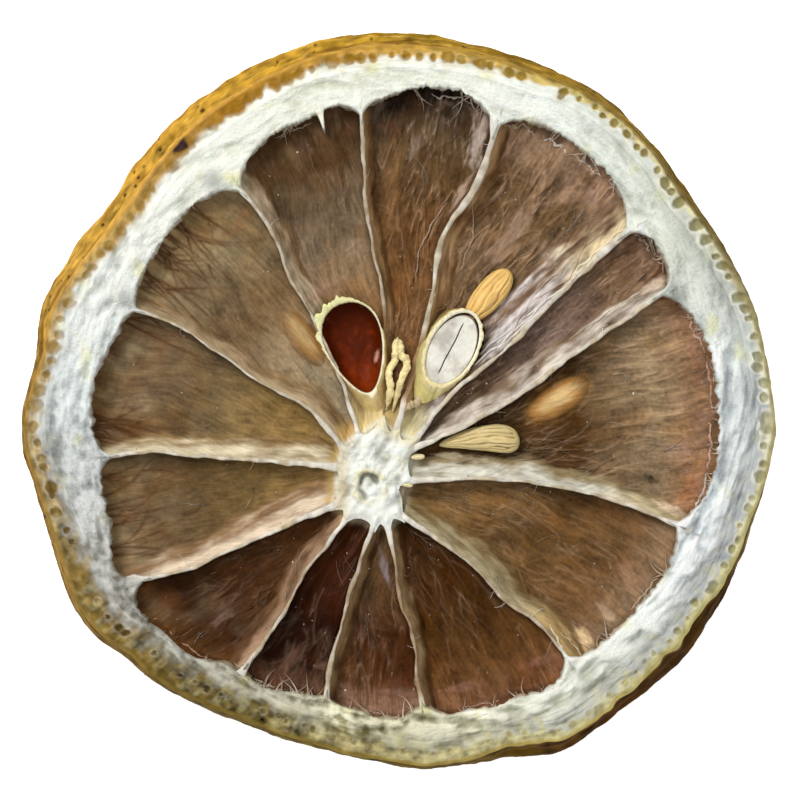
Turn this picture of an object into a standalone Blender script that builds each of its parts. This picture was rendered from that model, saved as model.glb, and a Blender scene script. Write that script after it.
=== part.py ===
"""A dried slice of lemon, cut straight across the fruit.

The peel frame is one piece: the golden rind and white pith run round the outside, thirteen thin
membranes cross it like the spokes of a wheel, and they meet in a white core that sits off centre.
Each space between two membranes holds a film of dried pulp, and some hold seeds.
The slice lies flat on its underside, cut face up, with its origin under the middle of its outline.
Sizes below are millimetres and degrees. Angles run anticlockwise from +X.
"""

import math

import bmesh
import bpy
import numpy as np

MM = 0.001

# Heights above the surface that the slice lies on.
RIM_HEIGHT = 6.2
RIM_WAVE = 0.25
BELLY_HEIGHT = 2.7
MEMBRANE_TOP = 5.6
MEMBRANE_BOTTOM = 0.5
SEED_CUT_HEIGHT = 5.3

# The outline: a mean radius and waves of 1, 2, 3... lobes, each an amplitude and a phase.
OUTLINE_RADIUS = 28.45
OUTLINE_WAVES = (
    (0.49, 73),
    (0.25, 27),
    (0.69, 113),
    (0.28, -81),
    (0.15, -4),
    (0.18, 43),
    (0.11, -61),
    (0.09, 37),
    (0.09, -149),
)
FLANK_INSET = 0.75
FLANK_INSET_SWING = 0.45
FLANK_INSET_DIRECTION = 125
UNDERSIDE_INSET = 1.1
LIP_DROP = 0.35
LIP_WIDTH = 0.6
PITH_DIP = 0.1
PITH_WIDTH = 4.2
# Rings of the disc, as shares of the pith's inner radius: where the pith's full height starts,
# where the membranes' height ends, and one half way to the middle.
PITH_EDGE = 1.02
WEB_EDGE = 0.93
WEB_MIDDLE = 0.5

# Each membrane: the angle and radius where it leaves the pith, the point where it meets the core,
# and how far it bows to its left at one, two, three and four fifths of the way out.
MEMBRANES = (
    (97.5, 23.0, (-1.35, -1.9), (-0.5, -0.7, 0.0, 0.1)),
    (71.0, 23.0, (-0.45, -2.9), (0.2, 0.4, 1.2, -0.1)),
    (36.6, 22.3, (1.0, -3.3), (0.6, 0.2, 0.2, 0.3)),
    (22.5, 22.5, (0.6, -3.9), (-0.7, -0.9, -0.5, -0.2)),
    (336.0, 24.0, (0.5, -6.2), (0.9, 1.4, 1.4, 0.9)),
    (303.0, 24.0, (-0.1, -8.7), (0.4, 0.6, 0.3, 0.6)),
    (274.3, 24.1, (-1.0, -9.5), (0.1, -0.1, 0.3, 0.1)),
    (256.2, 23.9, (-1.95, -9.3), (-0.2, -0.4, -0.4, -0.4)),
    (239.8, 24.3, (-4.0, -8.9), (-0.1, -0.2, 0.1, 0.1)),
    (214.2, 24.5, (-4.7, -8.0), (0.1, 0.3, 0.5, 0.6)),
    (190.9, 23.3, (-4.4, -5.2), (-0.2, -0.3, -0.4, -0.6)),
    (161.0, 22.1, (-4.2, -3.9), (-1.1, -0.8, -0.9, -0.9)),
    (127.3, 21.0, (-3.1, -3.1), (-0.7, -0.9, -0.7, -0.9)),
)
MEMBRANE_THICKNESS = 0.6

# Each space lies between a membrane and the one before it. A row gives how far its outer end
# bulges into the pith, where it starts as a share of the way from the core to the pith, and how
# far its pulp climbs its walls. It hardly climbs where large seeds sit on it.
SPACES = (
    (1.65, 0.05, 0.2),
    (1.8, 0.1, 0.2),
    (2.1, 0.08, 0.2),
    (0.8, 0.12, 1.1),
    (3.1, 0.03, 1.1),
    (1.3, 0.02, 1.1),
    (1.6, 0.04, 1.1),
    (0.9, 0.07, 1.1),
    (0.5, 0.03, 1.1),
    (1.4, 0.04, 1.1),
    (0.6, 0.01, 1.1),
    (1.6, 0.04, 1.1),
    (1.1, 0.04, 1.1),
)
INNER_ROUNDING = 0.12
OUTER_ROUNDING = 0.08
PULP_START = 0.02
GAP = 0.3
PULP_TOP = 2.6
PULP_BOTTOM = 1.9

# Seeds that the knife cut: centre, length, width and depth, and the angle of the long axis.
OPEN_SEED = ((-3.45, 4.75), (6.2, 3.5, 4.1), 104)
SHRUNKEN_SEED = ((-0.1, 2.6), (3.8, 0.85, 3.0), 90)
KERNEL_SEED = ((4.05, 3.85), (5.6, 3.4, 4.0), 62)
CUT_ABOVE_MIDDLE = 0.15
# Whole seeds: the same, and the height of the centre.
WHOLE_SEEDS = {
    "seed_ridged_gold": ((7.35, 8.35), (4.6, 2.2, 1.9), 52, 4.3),
    "seed_ridged_cream": ((6.3, -3.2), (5.4, 1.9, 1.7), 4, 4.6),
    "seed_sunk_right": ((12.0, -0.1), (4.6, 1.8, 1.2), 34, 4.1),
    "seed_sunk_left": ((-7.6, 5.2), (3.6, 1.6, 1.2), 125, 4.1),
}
SEED_WALL = 0.35
SHRUNKEN_WALL = 0.22
SEED_TAPER = 0.3
SEED_RIDGE = 0.12
SEED_RIDGE_COUNT = 8

KNIFE_SIDE = 40
KNIFE_HEIGHT = 10

ANGLE_STEPS = 80
WINDOW_STEPS = 30
PULP_STEPS = 24
SEED_SEGMENTS = 16
SEED_RINGS = 8


def wave(angle, waves):
    """The sum of a cosine for each wave, with 1, 2, 3... lobes round the circle."""
    return sum(size * math.cos(n * angle + math.radians(phase)) for n, (size, phase) in enumerate(waves, 1))


def outer_radius(angle):
    return OUTLINE_RADIUS + wave(angle, OUTLINE_WAVES)


def flank_inset(angle):
    """How far the cut face stays inside the outline: the rind leans in most at the upper left."""
    return FLANK_INSET + FLANK_INSET_SWING * math.cos(angle - math.radians(FLANK_INSET_DIRECTION))


def rim_height(angle):
    """The rim rises and falls a little, three times on its way round, as drying curls it."""
    return RIM_HEIGHT - RIM_WAVE * (0.5 + 0.5 * math.cos(3 * angle + 1.0))


def membrane_point(index, share):
    """The point a share of the way from the core to the pith, moved sideways by the smoothed bow."""
    angle, radius, core, bows = MEMBRANES[index % len(MEMBRANES)]
    start = np.array(core)
    end = radius * np.array((math.cos(math.radians(angle)), math.sin(math.radians(angle))))
    along = end - start
    left = np.array((-along[1], along[0])) / np.linalg.norm(along)
    knots = (-bows[0], 0.0, *bows, 0.0, -bows[-1])
    place = min(max(share, 0.0), 0.9999) * 5
    first = int(place)
    t = place - first
    a, b, c, d = knots[first : first + 4]
    bow = b + 0.5 * t * (c - a + t * (2 * a - 5 * b + 4 * c - d + t * (3 * (b - c) + d - a)))
    return start + share * along + bow * left


def space_point(index, share, across, clearance):
    """A point of a space: share runs from core to pith, and across from -1 to 1 between its walls."""
    before = membrane_point(index - 1, share)
    after = membrane_point(index, share)
    middle = 0.5 * (before + after)
    half = 0.5 * (after - before)
    half_width = np.linalg.norm(half)
    free = max(half_width - 0.5 * MEMBRANE_THICKNESS - clearance, 0.05) / half_width
    outward = middle / np.linalg.norm(middle)
    bulge = SPACES[index][0] * (1 - across**2) * max(share, 0.0) ** 4
    return middle + across * free * half + (bulge - clearance * max(share, 0.0) ** 8) * outward


def end_rounding(distance, length):
    """How much of the width is left near a rounded end: a quarter of an ellipse over its length."""
    if distance >= length:
        return 1.0
    return math.sqrt(max(1 - (1 - distance / length) ** 2, 0.0))


def space_outline(index, start, steps, clearance=0.0, scale=1.0):
    """The outline of one space, rounded at both ends, drawn in from its middle by scale."""
    middle = 0.5 * (1 + start)
    points = []
    for step in range(steps):
        turn = 2 * math.pi * step / steps
        share = middle - (1 - middle) * math.cos(turn)
        left = end_rounding(share - start, INNER_ROUNDING) * end_rounding(1 - share, OUTER_ROUNDING)
        across = math.copysign(left, math.sin(turn)) if step % (steps // 2) else 0.0
        points.append(space_point(index, middle + scale * (share - middle), scale * across, clearance))
    return points


def loft(name, rings, low_centre=None, high_centre=None):
    """A closed body through rings of points, from the lowest ring up, with a cap at each end."""
    shape = bmesh.new()
    loops = [[shape.verts.new(MM * np.array(point)) for point in ring] for ring in rings]
    for low, high in zip(loops, loops[1:]):
        for i in range(len(low)):
            j = (i + 1) % len(low)
            shape.faces.new((low[i], low[j], high[j], high[i]))
    for loop, centre, turn in ((loops[0], low_centre, -1), (loops[-1], high_centre, 1)):
        if centre is None:
            shape.faces.new(loop[::turn])
            continue
        tip = shape.verts.new(MM * np.array(centre))
        for i in range(len(loop)):
            j = (i + 1) % len(loop)
            shape.faces.new((loop[i], loop[j], tip)[::turn])
    bmesh.ops.recalc_face_normals(shape, faces=shape.faces)
    mesh = bpy.data.meshes.new(name)
    shape.to_mesh(mesh)
    shape.free()
    return mesh


def material(name, colour, roughness):
    made = bpy.data.materials.new(name)
    made.use_nodes = True
    shader = made.node_tree.nodes["Principled BSDF"]
    shader.inputs["Base Color"].default_value = (*colour, 1)
    shader.inputs["Roughness"].default_value = roughness
    shader.inputs["Metallic"].default_value = 0.0
    return made


def add(name, mesh, collection, finish=None):
    made = bpy.data.objects.new(name, mesh)
    collection.objects.link(made)
    if finish:
        mesh.materials.append(finish)
    return made


def as_helper(cutter):
    cutter.hide_render = True
    cutter.display_type = "WIRE"
    return cutter


def peel_ring(radius_at, height_at):
    """One closed ring of the peel frame: a radius and a height for each angle."""
    ring = []
    for step in range(ANGLE_STEPS):
        angle = 2 * math.pi * step / ANGLE_STEPS
        radius = radius_at(angle)
        ring.append((radius * math.cos(angle), radius * math.sin(angle), height_at(angle)))
    return ring


def make_peel_frame(collection, cutters, finish):
    """Rind, pith, membranes and core: a wavy disc whose thirteen openings are cut right through."""

    def inside(share):
        return lambda angle: share * (outer_radius(angle) - PITH_WIDTH)

    def flank(lean):
        return lambda angle: outer_radius(angle) - lean * flank_inset(angle)

    def at(height):
        return lambda angle: height

    rings = [
        peel_ring(inside(WEB_MIDDLE), at(MEMBRANE_BOTTOM)),
        peel_ring(inside(WEB_EDGE), at(MEMBRANE_BOTTOM)),
        peel_ring(inside(PITH_EDGE), at(0.0)),
        peel_ring(lambda angle: outer_radius(angle) - UNDERSIDE_INSET, at(0.0)),
        peel_ring(lambda angle: outer_radius(angle) - 0.3 * UNDERSIDE_INSET, at(0.35 * BELLY_HEIGHT)),
        peel_ring(outer_radius, at(BELLY_HEIGHT)),
        peel_ring(flank(0.45), lambda angle: 0.75 * rim_height(angle)),
        peel_ring(flank(1.0), lambda angle: rim_height(angle) - LIP_DROP),
        peel_ring(lambda angle: outer_radius(angle) - flank_inset(angle) - LIP_WIDTH, rim_height),
        peel_ring(inside(PITH_EDGE), lambda angle: rim_height(angle) - PITH_DIP),
        peel_ring(inside(WEB_EDGE), at(MEMBRANE_TOP)),
        peel_ring(inside(WEB_MIDDLE), at(MEMBRANE_TOP)),
    ]
    mesh = loft("peel_frame", rings, (0, 0, MEMBRANE_BOTTOM), (0, 0, MEMBRANE_TOP))
    frame = add("peel_frame", mesh, collection, finish)
    for index, (_, start, _) in enumerate(SPACES):
        outline = space_outline(index, start, WINDOW_STEPS)
        ends = [[(x, y, z) for x, y in outline] for z in (-1.0, RIM_HEIGHT + 1.0)]
        as_helper(add(f"opening_{index + 1:02d}", loft("opening", ends), cutters))
    cut = frame.modifiers.new("openings", "BOOLEAN")
    cut.operation = "DIFFERENCE"
    cut.operand_type = "COLLECTION"
    cut.collection = cutters
    cut.solver = "EXACT"
    return frame


def make_pulp(index, collection, finish):
    """One film of pulp: thin in the middle of its space, and thick where it climbs both walls."""
    _, start, climb = SPACES[index]
    start += PULP_START
    scales = (0.45, 0.8, 1.0)
    rings = []
    for scale in scales:
        outline = space_outline(index, start, PULP_STEPS, GAP, scale)
        rings.append([(x, y, PULP_BOTTOM - climb * scale**4) for x, y in outline])
    for scale in scales[::-1]:
        outline = space_outline(index, start, PULP_STEPS, GAP, scale)
        rings.append([(x, y, PULP_TOP + climb * scale**4) for x, y in outline])
    middle = space_point(index, 0.5 * (1 + start), 0.0, GAP)
    name = f"pulp_{index + 1:02d}"
    mesh = loft(name, rings, (*middle, PULP_BOTTOM), (*middle, PULP_TOP))
    return add(name, mesh, collection, finish)


def seed_mesh(name, centre, size, angle, height, shrink=0.0, ridges=0.0):
    """An egg with its point at -X, turned to its angle. Its long ridges are folds of the dry skin."""
    length, width, depth = (0.5 * value - shrink for value in size)
    shape = bmesh.new()
    bmesh.ops.create_uvsphere(shape, u_segments=SEED_SEGMENTS, v_segments=SEED_RINGS, radius=1.0)
    turn = math.radians(angle)
    for vert in shape.verts:
        # The sphere is turned so that its poles lie on the long axis.
        along, side, up = vert.co.z, vert.co.y, -vert.co.x
        fold = 1 - ridges * (0.5 + 0.5 * math.cos(SEED_RIDGE_COUNT * math.atan2(side, up)))
        taper = (1 + SEED_TAPER * along) / (1 + 0.5 * SEED_TAPER) * fold
        x = length * along
        y = width * side * taper
        vert.co.x = MM * (centre[0] + x * math.cos(turn) - y * math.sin(turn))
        vert.co.y = MM * (centre[1] + x * math.sin(turn) + y * math.cos(turn))
        vert.co.z = MM * (height + depth * up * taper)
    mesh = bpy.data.meshes.new(name)
    shape.to_mesh(mesh)
    shape.free()
    return mesh


def subtract(piece, name, cutter):
    cut = piece.modifiers.new(name, "BOOLEAN")
    cut.operation = "DIFFERENCE"
    cut.object = cutter
    cut.solver = "EXACT"


def cut_block(name, cutters):
    """The knife's path: everything above the height at which the seeds are cut."""
    shape = bmesh.new()
    bmesh.ops.create_cube(shape, size=1.0)
    bmesh.ops.scale(shape, verts=shape.verts, vec=(MM * KNIFE_SIDE, MM * KNIFE_SIDE, MM * KNIFE_HEIGHT))
    lift = MM * (SEED_CUT_HEIGHT + 0.5 * KNIFE_HEIGHT)
    bmesh.ops.translate(shape, verts=shape.verts, vec=(0, 0, lift))
    mesh = bpy.data.meshes.new(name)
    shape.to_mesh(mesh)
    shape.free()
    return as_helper(add(name, mesh, cutters))


def make_cut_seed(name, seed, wall, knife, collection, cutters, finish):
    """A seed coat that the knife opened: its top is cut away, and its inside is hollow."""
    height = SEED_CUT_HEIGHT - CUT_ABOVE_MIDDLE
    coat = add(name, seed_mesh(name, *seed, height), collection, finish)
    hollow = add(name + "_hollow", seed_mesh(name + "_hollow", *seed, height, shrink=wall), cutters)
    subtract(coat, "hollow", as_helper(hollow))
    subtract(coat, "knife", knife)
    return coat


def make_kernel(collection, finish, knife):
    """The white kernel, cut level with its coat and a little loose inside it."""
    height = SEED_CUT_HEIGHT - CUT_ABOVE_MIDDLE
    mesh = seed_mesh("seed_kernel", *KERNEL_SEED, height, shrink=SEED_WALL + GAP)
    kernel = add("seed_kernel", mesh, collection, finish)
    subtract(kernel, "knife", knife)
    return kernel


def main():
    for item in list(bpy.data.objects):
        bpy.data.objects.remove(item)
    scene = bpy.context.scene
    parts = bpy.data.collections.new("lemon_slice")
    openings = bpy.data.collections.new("opening_cutters")
    knives = bpy.data.collections.new("seed_cutters")
    for collection in (parts, openings, knives):
        scene.collection.children.link(collection)

    pith = material("pith", (0.78, 0.76, 0.66), 0.9)
    make_peel_frame(parts, openings, pith)
    pulp = material("pulp", (0.2, 0.12, 0.06), 0.5)
    for index in range(len(SPACES)):
        make_pulp(index, parts, pulp)

    coat = material("seed_coat", (0.72, 0.62, 0.36), 0.7)
    kernel = material("seed_kernel", (0.68, 0.66, 0.6), 0.6)
    knife = cut_block("knife", knives)
    make_cut_seed("seed_open", OPEN_SEED, SEED_WALL, knife, parts, knives, coat)
    make_cut_seed("seed_shrunken", SHRUNKEN_SEED, SHRUNKEN_WALL, knife, parts, knives, coat)
    make_cut_seed("seed_kernel_coat", KERNEL_SEED, SEED_WALL, knife, parts, knives, coat)
    make_kernel(parts, kernel, knife)
    for name, seed in WHOLE_SEEDS.items():
        add(name, seed_mesh(name, *seed, ridges=SEED_RIDGE), parts, coat)


main()
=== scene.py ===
import math
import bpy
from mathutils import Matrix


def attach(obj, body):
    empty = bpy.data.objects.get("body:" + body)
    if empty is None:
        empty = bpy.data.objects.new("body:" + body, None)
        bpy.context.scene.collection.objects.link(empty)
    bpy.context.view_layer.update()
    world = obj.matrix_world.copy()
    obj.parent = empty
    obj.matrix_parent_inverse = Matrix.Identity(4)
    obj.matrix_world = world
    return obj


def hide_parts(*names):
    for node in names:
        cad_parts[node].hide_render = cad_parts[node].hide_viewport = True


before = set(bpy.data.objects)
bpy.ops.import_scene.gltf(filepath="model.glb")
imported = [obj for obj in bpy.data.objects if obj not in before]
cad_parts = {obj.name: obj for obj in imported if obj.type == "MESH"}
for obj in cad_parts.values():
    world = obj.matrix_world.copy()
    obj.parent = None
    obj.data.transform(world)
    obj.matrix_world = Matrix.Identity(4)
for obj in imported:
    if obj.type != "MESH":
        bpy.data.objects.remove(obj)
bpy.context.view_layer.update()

from types import SimpleNamespace

import bpy
import numpy as np
from mathutils import Vector

# ---------------------------------------------------------------- Rind
# The rind is the lemon's golden skin, dried hard and a little glossy. It wraps the slice's edge as
# a bulging flank with pores and wrinkles, and the knife left a narrow cut band of it on each face.
# The oil glands in that band dried to olive and amber pits. Sizes are millimetres.
MM = 0.001
TURN = 2 * math.pi
OUTLINE_RADIUS = 28.38
# Each wave of the outline: its height, and its phase in degrees.
OUTLINE_WAVES = (
    (0.49, 73), (0.25, 27), (0.69, 113), (0.28, -81), (0.15, -4), (0.18, 43), (0.11, -61), (0.09, 37),
    (0.09, -149),
)
RIM_HEIGHT = 6.2
RIM_WAVE = 0.25
BELLY_HEIGHT = 2.7
RIND_COLUMNS = 1280
# How far the underside leans in under the belly, and how high it clears the ground.
UNDER_LEAN = 1.0
CLEARANCE = 0.03
# The band of rind runs on under the pith by a little, and the pith takes over at a share of it.
BAND_EXTRA = 0.9
JOIN = 0.9
GLAND_SPACING = 1.18
# The radii that turn a direction into millimetres: of the gland row, of the skin and of the grain.
GLAND_ROW_RADIUS = 27.3
SKIN_RADIUS = 27.5
GRAIN_RADIUS = 25

_table = np.random.default_rng(7)
_shuffle = np.tile(_table.permutation(256), 2)
_slopes = _table.normal(size=(256, 3))
_slopes /= np.linalg.norm(_slopes, axis=1)[:, None]


def noise(x, y, z=0.0, seed=0):
    """Smooth random hills, about -0.7 to 0.7: random slopes at the corners of unit cells, blended."""
    x, y, z = np.broadcast_arrays(np.asarray(x, float) + 17.3 * seed, y, z)
    cell = [np.floor(v).astype(int) for v in (x, y, z)]
    part = [v - c for v, c in zip((x, y, z), cell)]
    ease_in = [p * p * p * (p * (6 * p - 15) + 10) for p in part]
    total = np.zeros(x.shape)
    for i in (0, 1):
        for j in (0, 1):
            for k in (0, 1):
                corner = _shuffle[(cell[0] + i) & 255]
                corner = _shuffle[corner + ((cell[1] + j) & 255)]
                corner = _shuffle[corner + ((cell[2] + k) & 255)]
                slope = _slopes[corner]
                hill = slope[..., 0] * (part[0] - i)
                hill += slope[..., 1] * (part[1] - j)
                hill += slope[..., 2] * (part[2] - k)
                weight = (ease_in[0] if i else 1 - ease_in[0]) * (ease_in[1] if j else 1 - ease_in[1])
                total += hill * weight * (ease_in[2] if k else 1 - ease_in[2])
    return total


def layers(x, y, z, seed, octaves):
    """Noise with finer and fainter noise on top: each layer is twice as fine and half as strong."""
    total = 0.0
    for octave in range(octaves):
        fine = 2.0**octave
        total = total + noise(x * fine, y * fine, z * fine, seed + 5 * octave) / fine
    return total


def cloud(x, y, scale, seed, octaves):
    """Layered noise over a plan, with scale as many hills for each millimetre."""
    return layers(scale * x, scale * y, 0, seed, octaves)


def creases(x, y, z, seed, sharp):
    """Thin lines where the noise crosses zero: 1 on a line and falling away on both sides."""
    return np.clip(1 - np.abs(noise(x, y, z, seed)) * 2.2, 0, 1) ** sharp


def ease(value, low, high):
    """0 below low, 1 above high, and a smooth S between. Works downwards if low is above high."""
    share = np.clip((value - low) / (high - low), 0, 1)
    return share * share * (3 - 2 * share)


def paint(*colour):
    """A display colour of 0 to 255 as the light values that the materials work in."""
    shown = np.array(colour, float) / 255
    return np.where(shown > 0.04045, ((shown + 0.055) / 1.055) ** 2.4, shown / 12.92)


def mix(first, second, share):
    """Blends two colours, or two fields of colours, by a share for each point."""
    share = np.clip(np.asarray(share, float), 0, 1)[..., None]
    return first * (1 - share) + second * share


def around(angle, values):
    """A value or colour for each direction, from those at even steps anticlockwise from the right."""
    values = np.asarray(values, float)
    steps = np.arange(len(values)) * 360 / len(values)
    place = np.degrees(angle) % 360
    if values.ndim == 1:
        return np.interp(place, steps, values, period=360)
    return np.stack([np.interp(place, steps, one, period=360) for one in values.T], -1)


def near(angle, middle, spread):
    """1 at the middle direction and a bell round it, with both in degrees."""
    gap = (np.degrees(angle) - middle + 180) % 360 - 180
    return np.exp(-((gap / spread) ** 2))


def with_bumps(value, angle, bumps):
    """The value with a bell added for each row of bumps: its direction, spread and height."""
    for direction, spread, size in bumps:
        value = value + size * near(angle, direction, spread)
    return value


# The small bumps and dents of the outline: each one's direction, spread and height.
DENTS = (
    (6, 6, -0.34), (36, 5, -0.28), (69, 6, -0.22), (142, 9, -0.2), (148, 8, -0.15), (160, 24, 0.25),
    (164, 5, 0.15), (174, 6, -0.66), (186, 6, 0.3), (203, 10, -0.2), (214, 7, 0.28), (223, 4, -0.42),
    (238, 10, 0.32), (248, 12, -0.22), (250, 6, 0.2), (274, 4, 0.3), (286, 4, -0.22), (294, 3, 0.2),
    (297, 6, 0.2), (304, 6, -0.42), (319, 4, 0.25), (344, 8, -0.34),
)


def outer_radius(angle):
    """The outline: a mean radius, a wave of 1, 2, 3... lobes each, and slight dents of the dry skin."""
    radius = OUTLINE_RADIUS + 0.0 * angle
    for lobes, (size, phase) in enumerate(OUTLINE_WAVES, 1):
        radius = radius + size * np.cos(lobes * angle + math.radians(phase))
    radius = with_bumps(radius, angle, DENTS)
    return radius + 0.16 * noise(9 * np.cos(angle), 9 * np.sin(angle), 0.5)


# Where the flank leans in more or less than its even lean: direction, spread and how much.
LEANS = (
    (310, 22, 0.3), (182, 17, -0.55), (268, 15, -0.15), (350, 22, -0.35), (5, 16, -0.2), (290, 5, 0.4),
    (301, 4, -0.3), (316, 4, 0.35),
)


def top_radius(angle):
    """Where the flank meets the cut face. It leans in most at the upper left, then at the lower right."""
    lean = 0.7 + 0.36 * np.cos(angle - math.radians(130)) + 0.27 * np.cos(2 * angle - math.radians(264))
    lean = with_bumps(lean, angle, LEANS)
    lean = lean + 0.5 * near(angle, 315, 34) * noise(22 * np.cos(angle), 22 * np.sin(angle), 3.5)
    return outer_radius(angle) - np.maximum(lean, 0.12)


def rim_height(angle):
    """The height of the cut face at its rim, which waves a little: three low places round the slice."""
    return RIM_HEIGHT - RIM_WAVE * (0.5 + 0.5 * np.cos(3 * angle + 1.0))


def rim_noise(angle, radius, along, across, seed, octaves=3):
    """Noise stretched round the rim: along and across are its cells for each millimetre."""
    reach = GRAIN_RADIUS * along
    return layers(reach * np.cos(angle), reach * np.sin(angle), across * radius, seed, octaves)


# How wide the cut rind is at every thirty degrees, anticlockwise from the right.
ZEST_WIDTHS = (0.7, 0.7, 0.85, 1.05, 1.15, 1.3, 0.8, 2.0, 1.9, 1.3, 0.9, 0.7)
# By direction: how big the oil glands are, how deep they sank in and how crumbly the cut rind is.
GLAND_SIZES = (1.4, 1.3, 1.2, 1.4, 1.6, 1.5, 1.3, 0.9, 0.7, 0.7, 0.7, 0.9)
GLAND_DEPTHS = (0.26, 0.24, 0.14, 0.06, 0.05, 0.06, 0.12, 0.1, 0.08, 0.06, 0.08, 0.2)
CRUMBLING = (0.1, 0.1, 0.2, 0.3, 0.2, 0.2, 0.4, 0.9, 1.0, 1.0, 1.0, 0.5)


def make_glands():
    """The oil glands, an uneven row of pits in the cut rind: each one's direction, depth in from the
    skin, height and width."""
    draw = np.random.default_rng(21)
    count = int(TURN * GLAND_ROW_RADIUS / GLAND_SPACING)
    angle = np.linspace(0, TURN, count, endpoint=False) + draw.uniform(-0.013, 0.013, count)
    big = draw.uniform(0.0, 1.0, count) ** 1.2
    size = around(angle, GLAND_SIZES) * (0.2 + 0.22 * big)
    inside = 0.22 + 0.55 * around(angle, ZEST_WIDTHS) + draw.normal(0, 0.1, count)
    kept = draw.uniform(size=count) < 0.93
    return np.stack([angle, inside, size * 1.1, size * draw.uniform(0.8, 1.25, count)], 1)[kept]


def spot_reach(spots, angle, inside):
    """How far each point is from the nearest spot's middle, as a share of that spot's size."""
    turn, inside = angle.ravel() % TURN, inside.ravel()
    order = np.argsort(turn)
    turn = turn[order]
    reach = np.full(turn.size, 3.0)
    for middle, depth, tall, wide in spots:
        for lap in (-TURN, 0, TURN):
            first, last = np.searchsorted(turn, (middle + lap - 0.05, middle + lap + 0.05))
            some = order[first:last]
            away = SKIN_RADIUS * (turn[first:last] - middle - lap)
            reach[some] = np.minimum(reach[some], np.hypot((inside[some] - depth) / tall, away / wide))
    return reach.reshape(angle.shape)


GLANDS = make_glands()
SCAR = (-17.0, 19.6)


def scar_reach(x, y):
    """How far each point is from the scar's middle, as a share of its ragged size."""
    return np.hypot((x - SCAR[0]) / 0.72, (y - SCAR[1]) / 0.66) * (1 + 0.5 * noise(1.6 * x, 1.6 * y, 0, 35))


def rounded(gap, radius):
    """A quarter circle's drop: 0 at the radius away from an edge, and 1 at the edge itself."""
    return 1 - np.sqrt(1 - np.clip(1 - gap / radius, 0, 1) ** 2)


# By direction: how strong the ridges are, how fluffy the pith is and how deep its channels run.
RIDGE_STRENGTHS = (1.3, 0.8, 0.6, 0.6, 0.8, 0.8, 0.9, 0.9, 0.8, 1.1, 1.5, 1.5)
FLUFFINESS = (0.2, 0.3, 0.3, 0.3, 0.3, 0.4, 0.6, 0.8, 0.8, 0.6, 0.2, 0.2)
CHANNELS = (1, 0.5, 0.2, 0.1, 0.2, 0.4, 0.6, 0.3, 0.3, 0.7, 1, 1.2)


def cut_surface(x, y):
    """The cut face of rind and pith: its height, how far each point is in a hollow, the reach to the
    nearest gland, and the crumbs. Soft slanting ridges follow the rim, and fluff, dimples and glands
    break them. Where the rind crumbled, short pale crumbs stand across it."""
    angle, radius = np.arctan2(y, x), np.hypot(x, y)
    inside = top_radius(angle) - radius
    warped = radius + 2.2 * rim_noise(angle, radius, 0.08, 0.1, 3, 2)
    ridges = rim_noise(angle + 0.02 * inside, warped, 0.16, 0.5, 31, 2)
    strips = rim_noise(angle + 0.04 * inside, warped, 0.42, 0.95, 11, 2)
    fibres = rim_noise(angle, warped, 0.8, 3.2, 15, 2)
    fluff = cloud(x, y, 1.3, 41, 4)
    lumps = np.abs(cloud(x, y, 0.7, 43, 2))
    dimples = ease(noise(x, y, 0, 47), 0.28, 0.5) * ease(inside, 1.2, 2.0)
    wobble = 1 + 0.5 * noise(2.1 * x, 2.1 * y, 0, 49)
    reach = spot_reach(GLANDS, angle, inside) * wobble
    crumbs = 0.75 * rim_noise(angle, inside, 1.5, 0.5, 53, 3) + 0.4 * cloud(x, y, 1.5, 57, 3)
    crumbs = crumbs * around(angle, CRUMBLING)
    crumbs = crumbs * ease(inside, 0.15, 0.45) * ease(inside, 2.6, 1.5)
    strong, fluffy = around(angle, RIDGE_STRENGTHS), around(angle, FLUFFINESS)
    channel = np.abs(rim_noise(angle, warped, 0.1, 0.42, 71, 1) + 0.1 * strips)
    channel = np.clip(1 - 4.5 * channel, 0, 1) ** 2 * around(angle, CHANNELS) * ease(inside, 0.8, 1.6)
    hollow = 0.3 * channel - 0.8 * ridges - 0.75 * strips - 0.2 * fibres
    hollow = hollow - fluffy * fluff - 0.4 * lumps + 0.4 * dimples + 0.05
    away = ease(inside, 0.15, 1.4)
    relief = strong * (0.6 * ridges + 0.62 * strips + 0.08 * fibres) + 0.16 * lumps - 0.16 * dimples
    relief = relief + 0.25 * fluffy * fluff - 0.12 * channel
    relief = np.minimum(relief, 0.25 * np.tanh(relief / 0.25)) * away + (1 - away) * 0.07 * fluff
    height = rim_height(angle) + relief - 0.3 * rounded(inside, 0.35)
    deep = around(angle, GLAND_DEPTHS)
    pit = np.clip(1 - reach**2, 0, 1)
    ring = np.exp(-(((reach - 1.2) / 0.25) ** 2))
    scar = scar_reach(x, y)
    swelling = 0.4 + cloud(x, y, 3, 37, 2)
    height = height + 0.2 * ease(scar, 1.3, 0.9) * swelling - 0.3 * ease(scar, 0.8, 0.3)
    return height - deep * pit + 0.2 * deep * ring + 0.22 * crumbs, hollow, reach, crumbs


# The pith's colour at every thirty degrees: lit on its ridges, and with painted shade in its hollows.
# Each line of such a table of colours holds a quarter of the way round.
PITH_LIGHT = paint(
    (222, 228, 228), (214, 218, 206), (236, 240, 234), (240, 242, 232),
    (240, 242, 231), (242, 244, 238), (224, 230, 230), (200, 200, 196),
    (190, 186, 170), (224, 220, 190), (240, 242, 232), (238, 242, 242),
)
PITH_DARK = paint(
    (146, 152, 158), (136, 140, 130), (180, 184, 170), (190, 190, 162),
    (190, 190, 160), (186, 190, 180), (146, 152, 154), (126, 122, 114),
    (100, 94, 74), (96, 88, 52), (184, 184, 164), (138, 144, 148),
)
# How much painted shade darkens the outer half of the pith against its inner half.
OUTER_SHADE = (0.36, 0.22, 0.06, 0.0, 0.0, 0.05, 0.22, 0.36, 0.4, 0.46, 0.44, 0.5)
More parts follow.
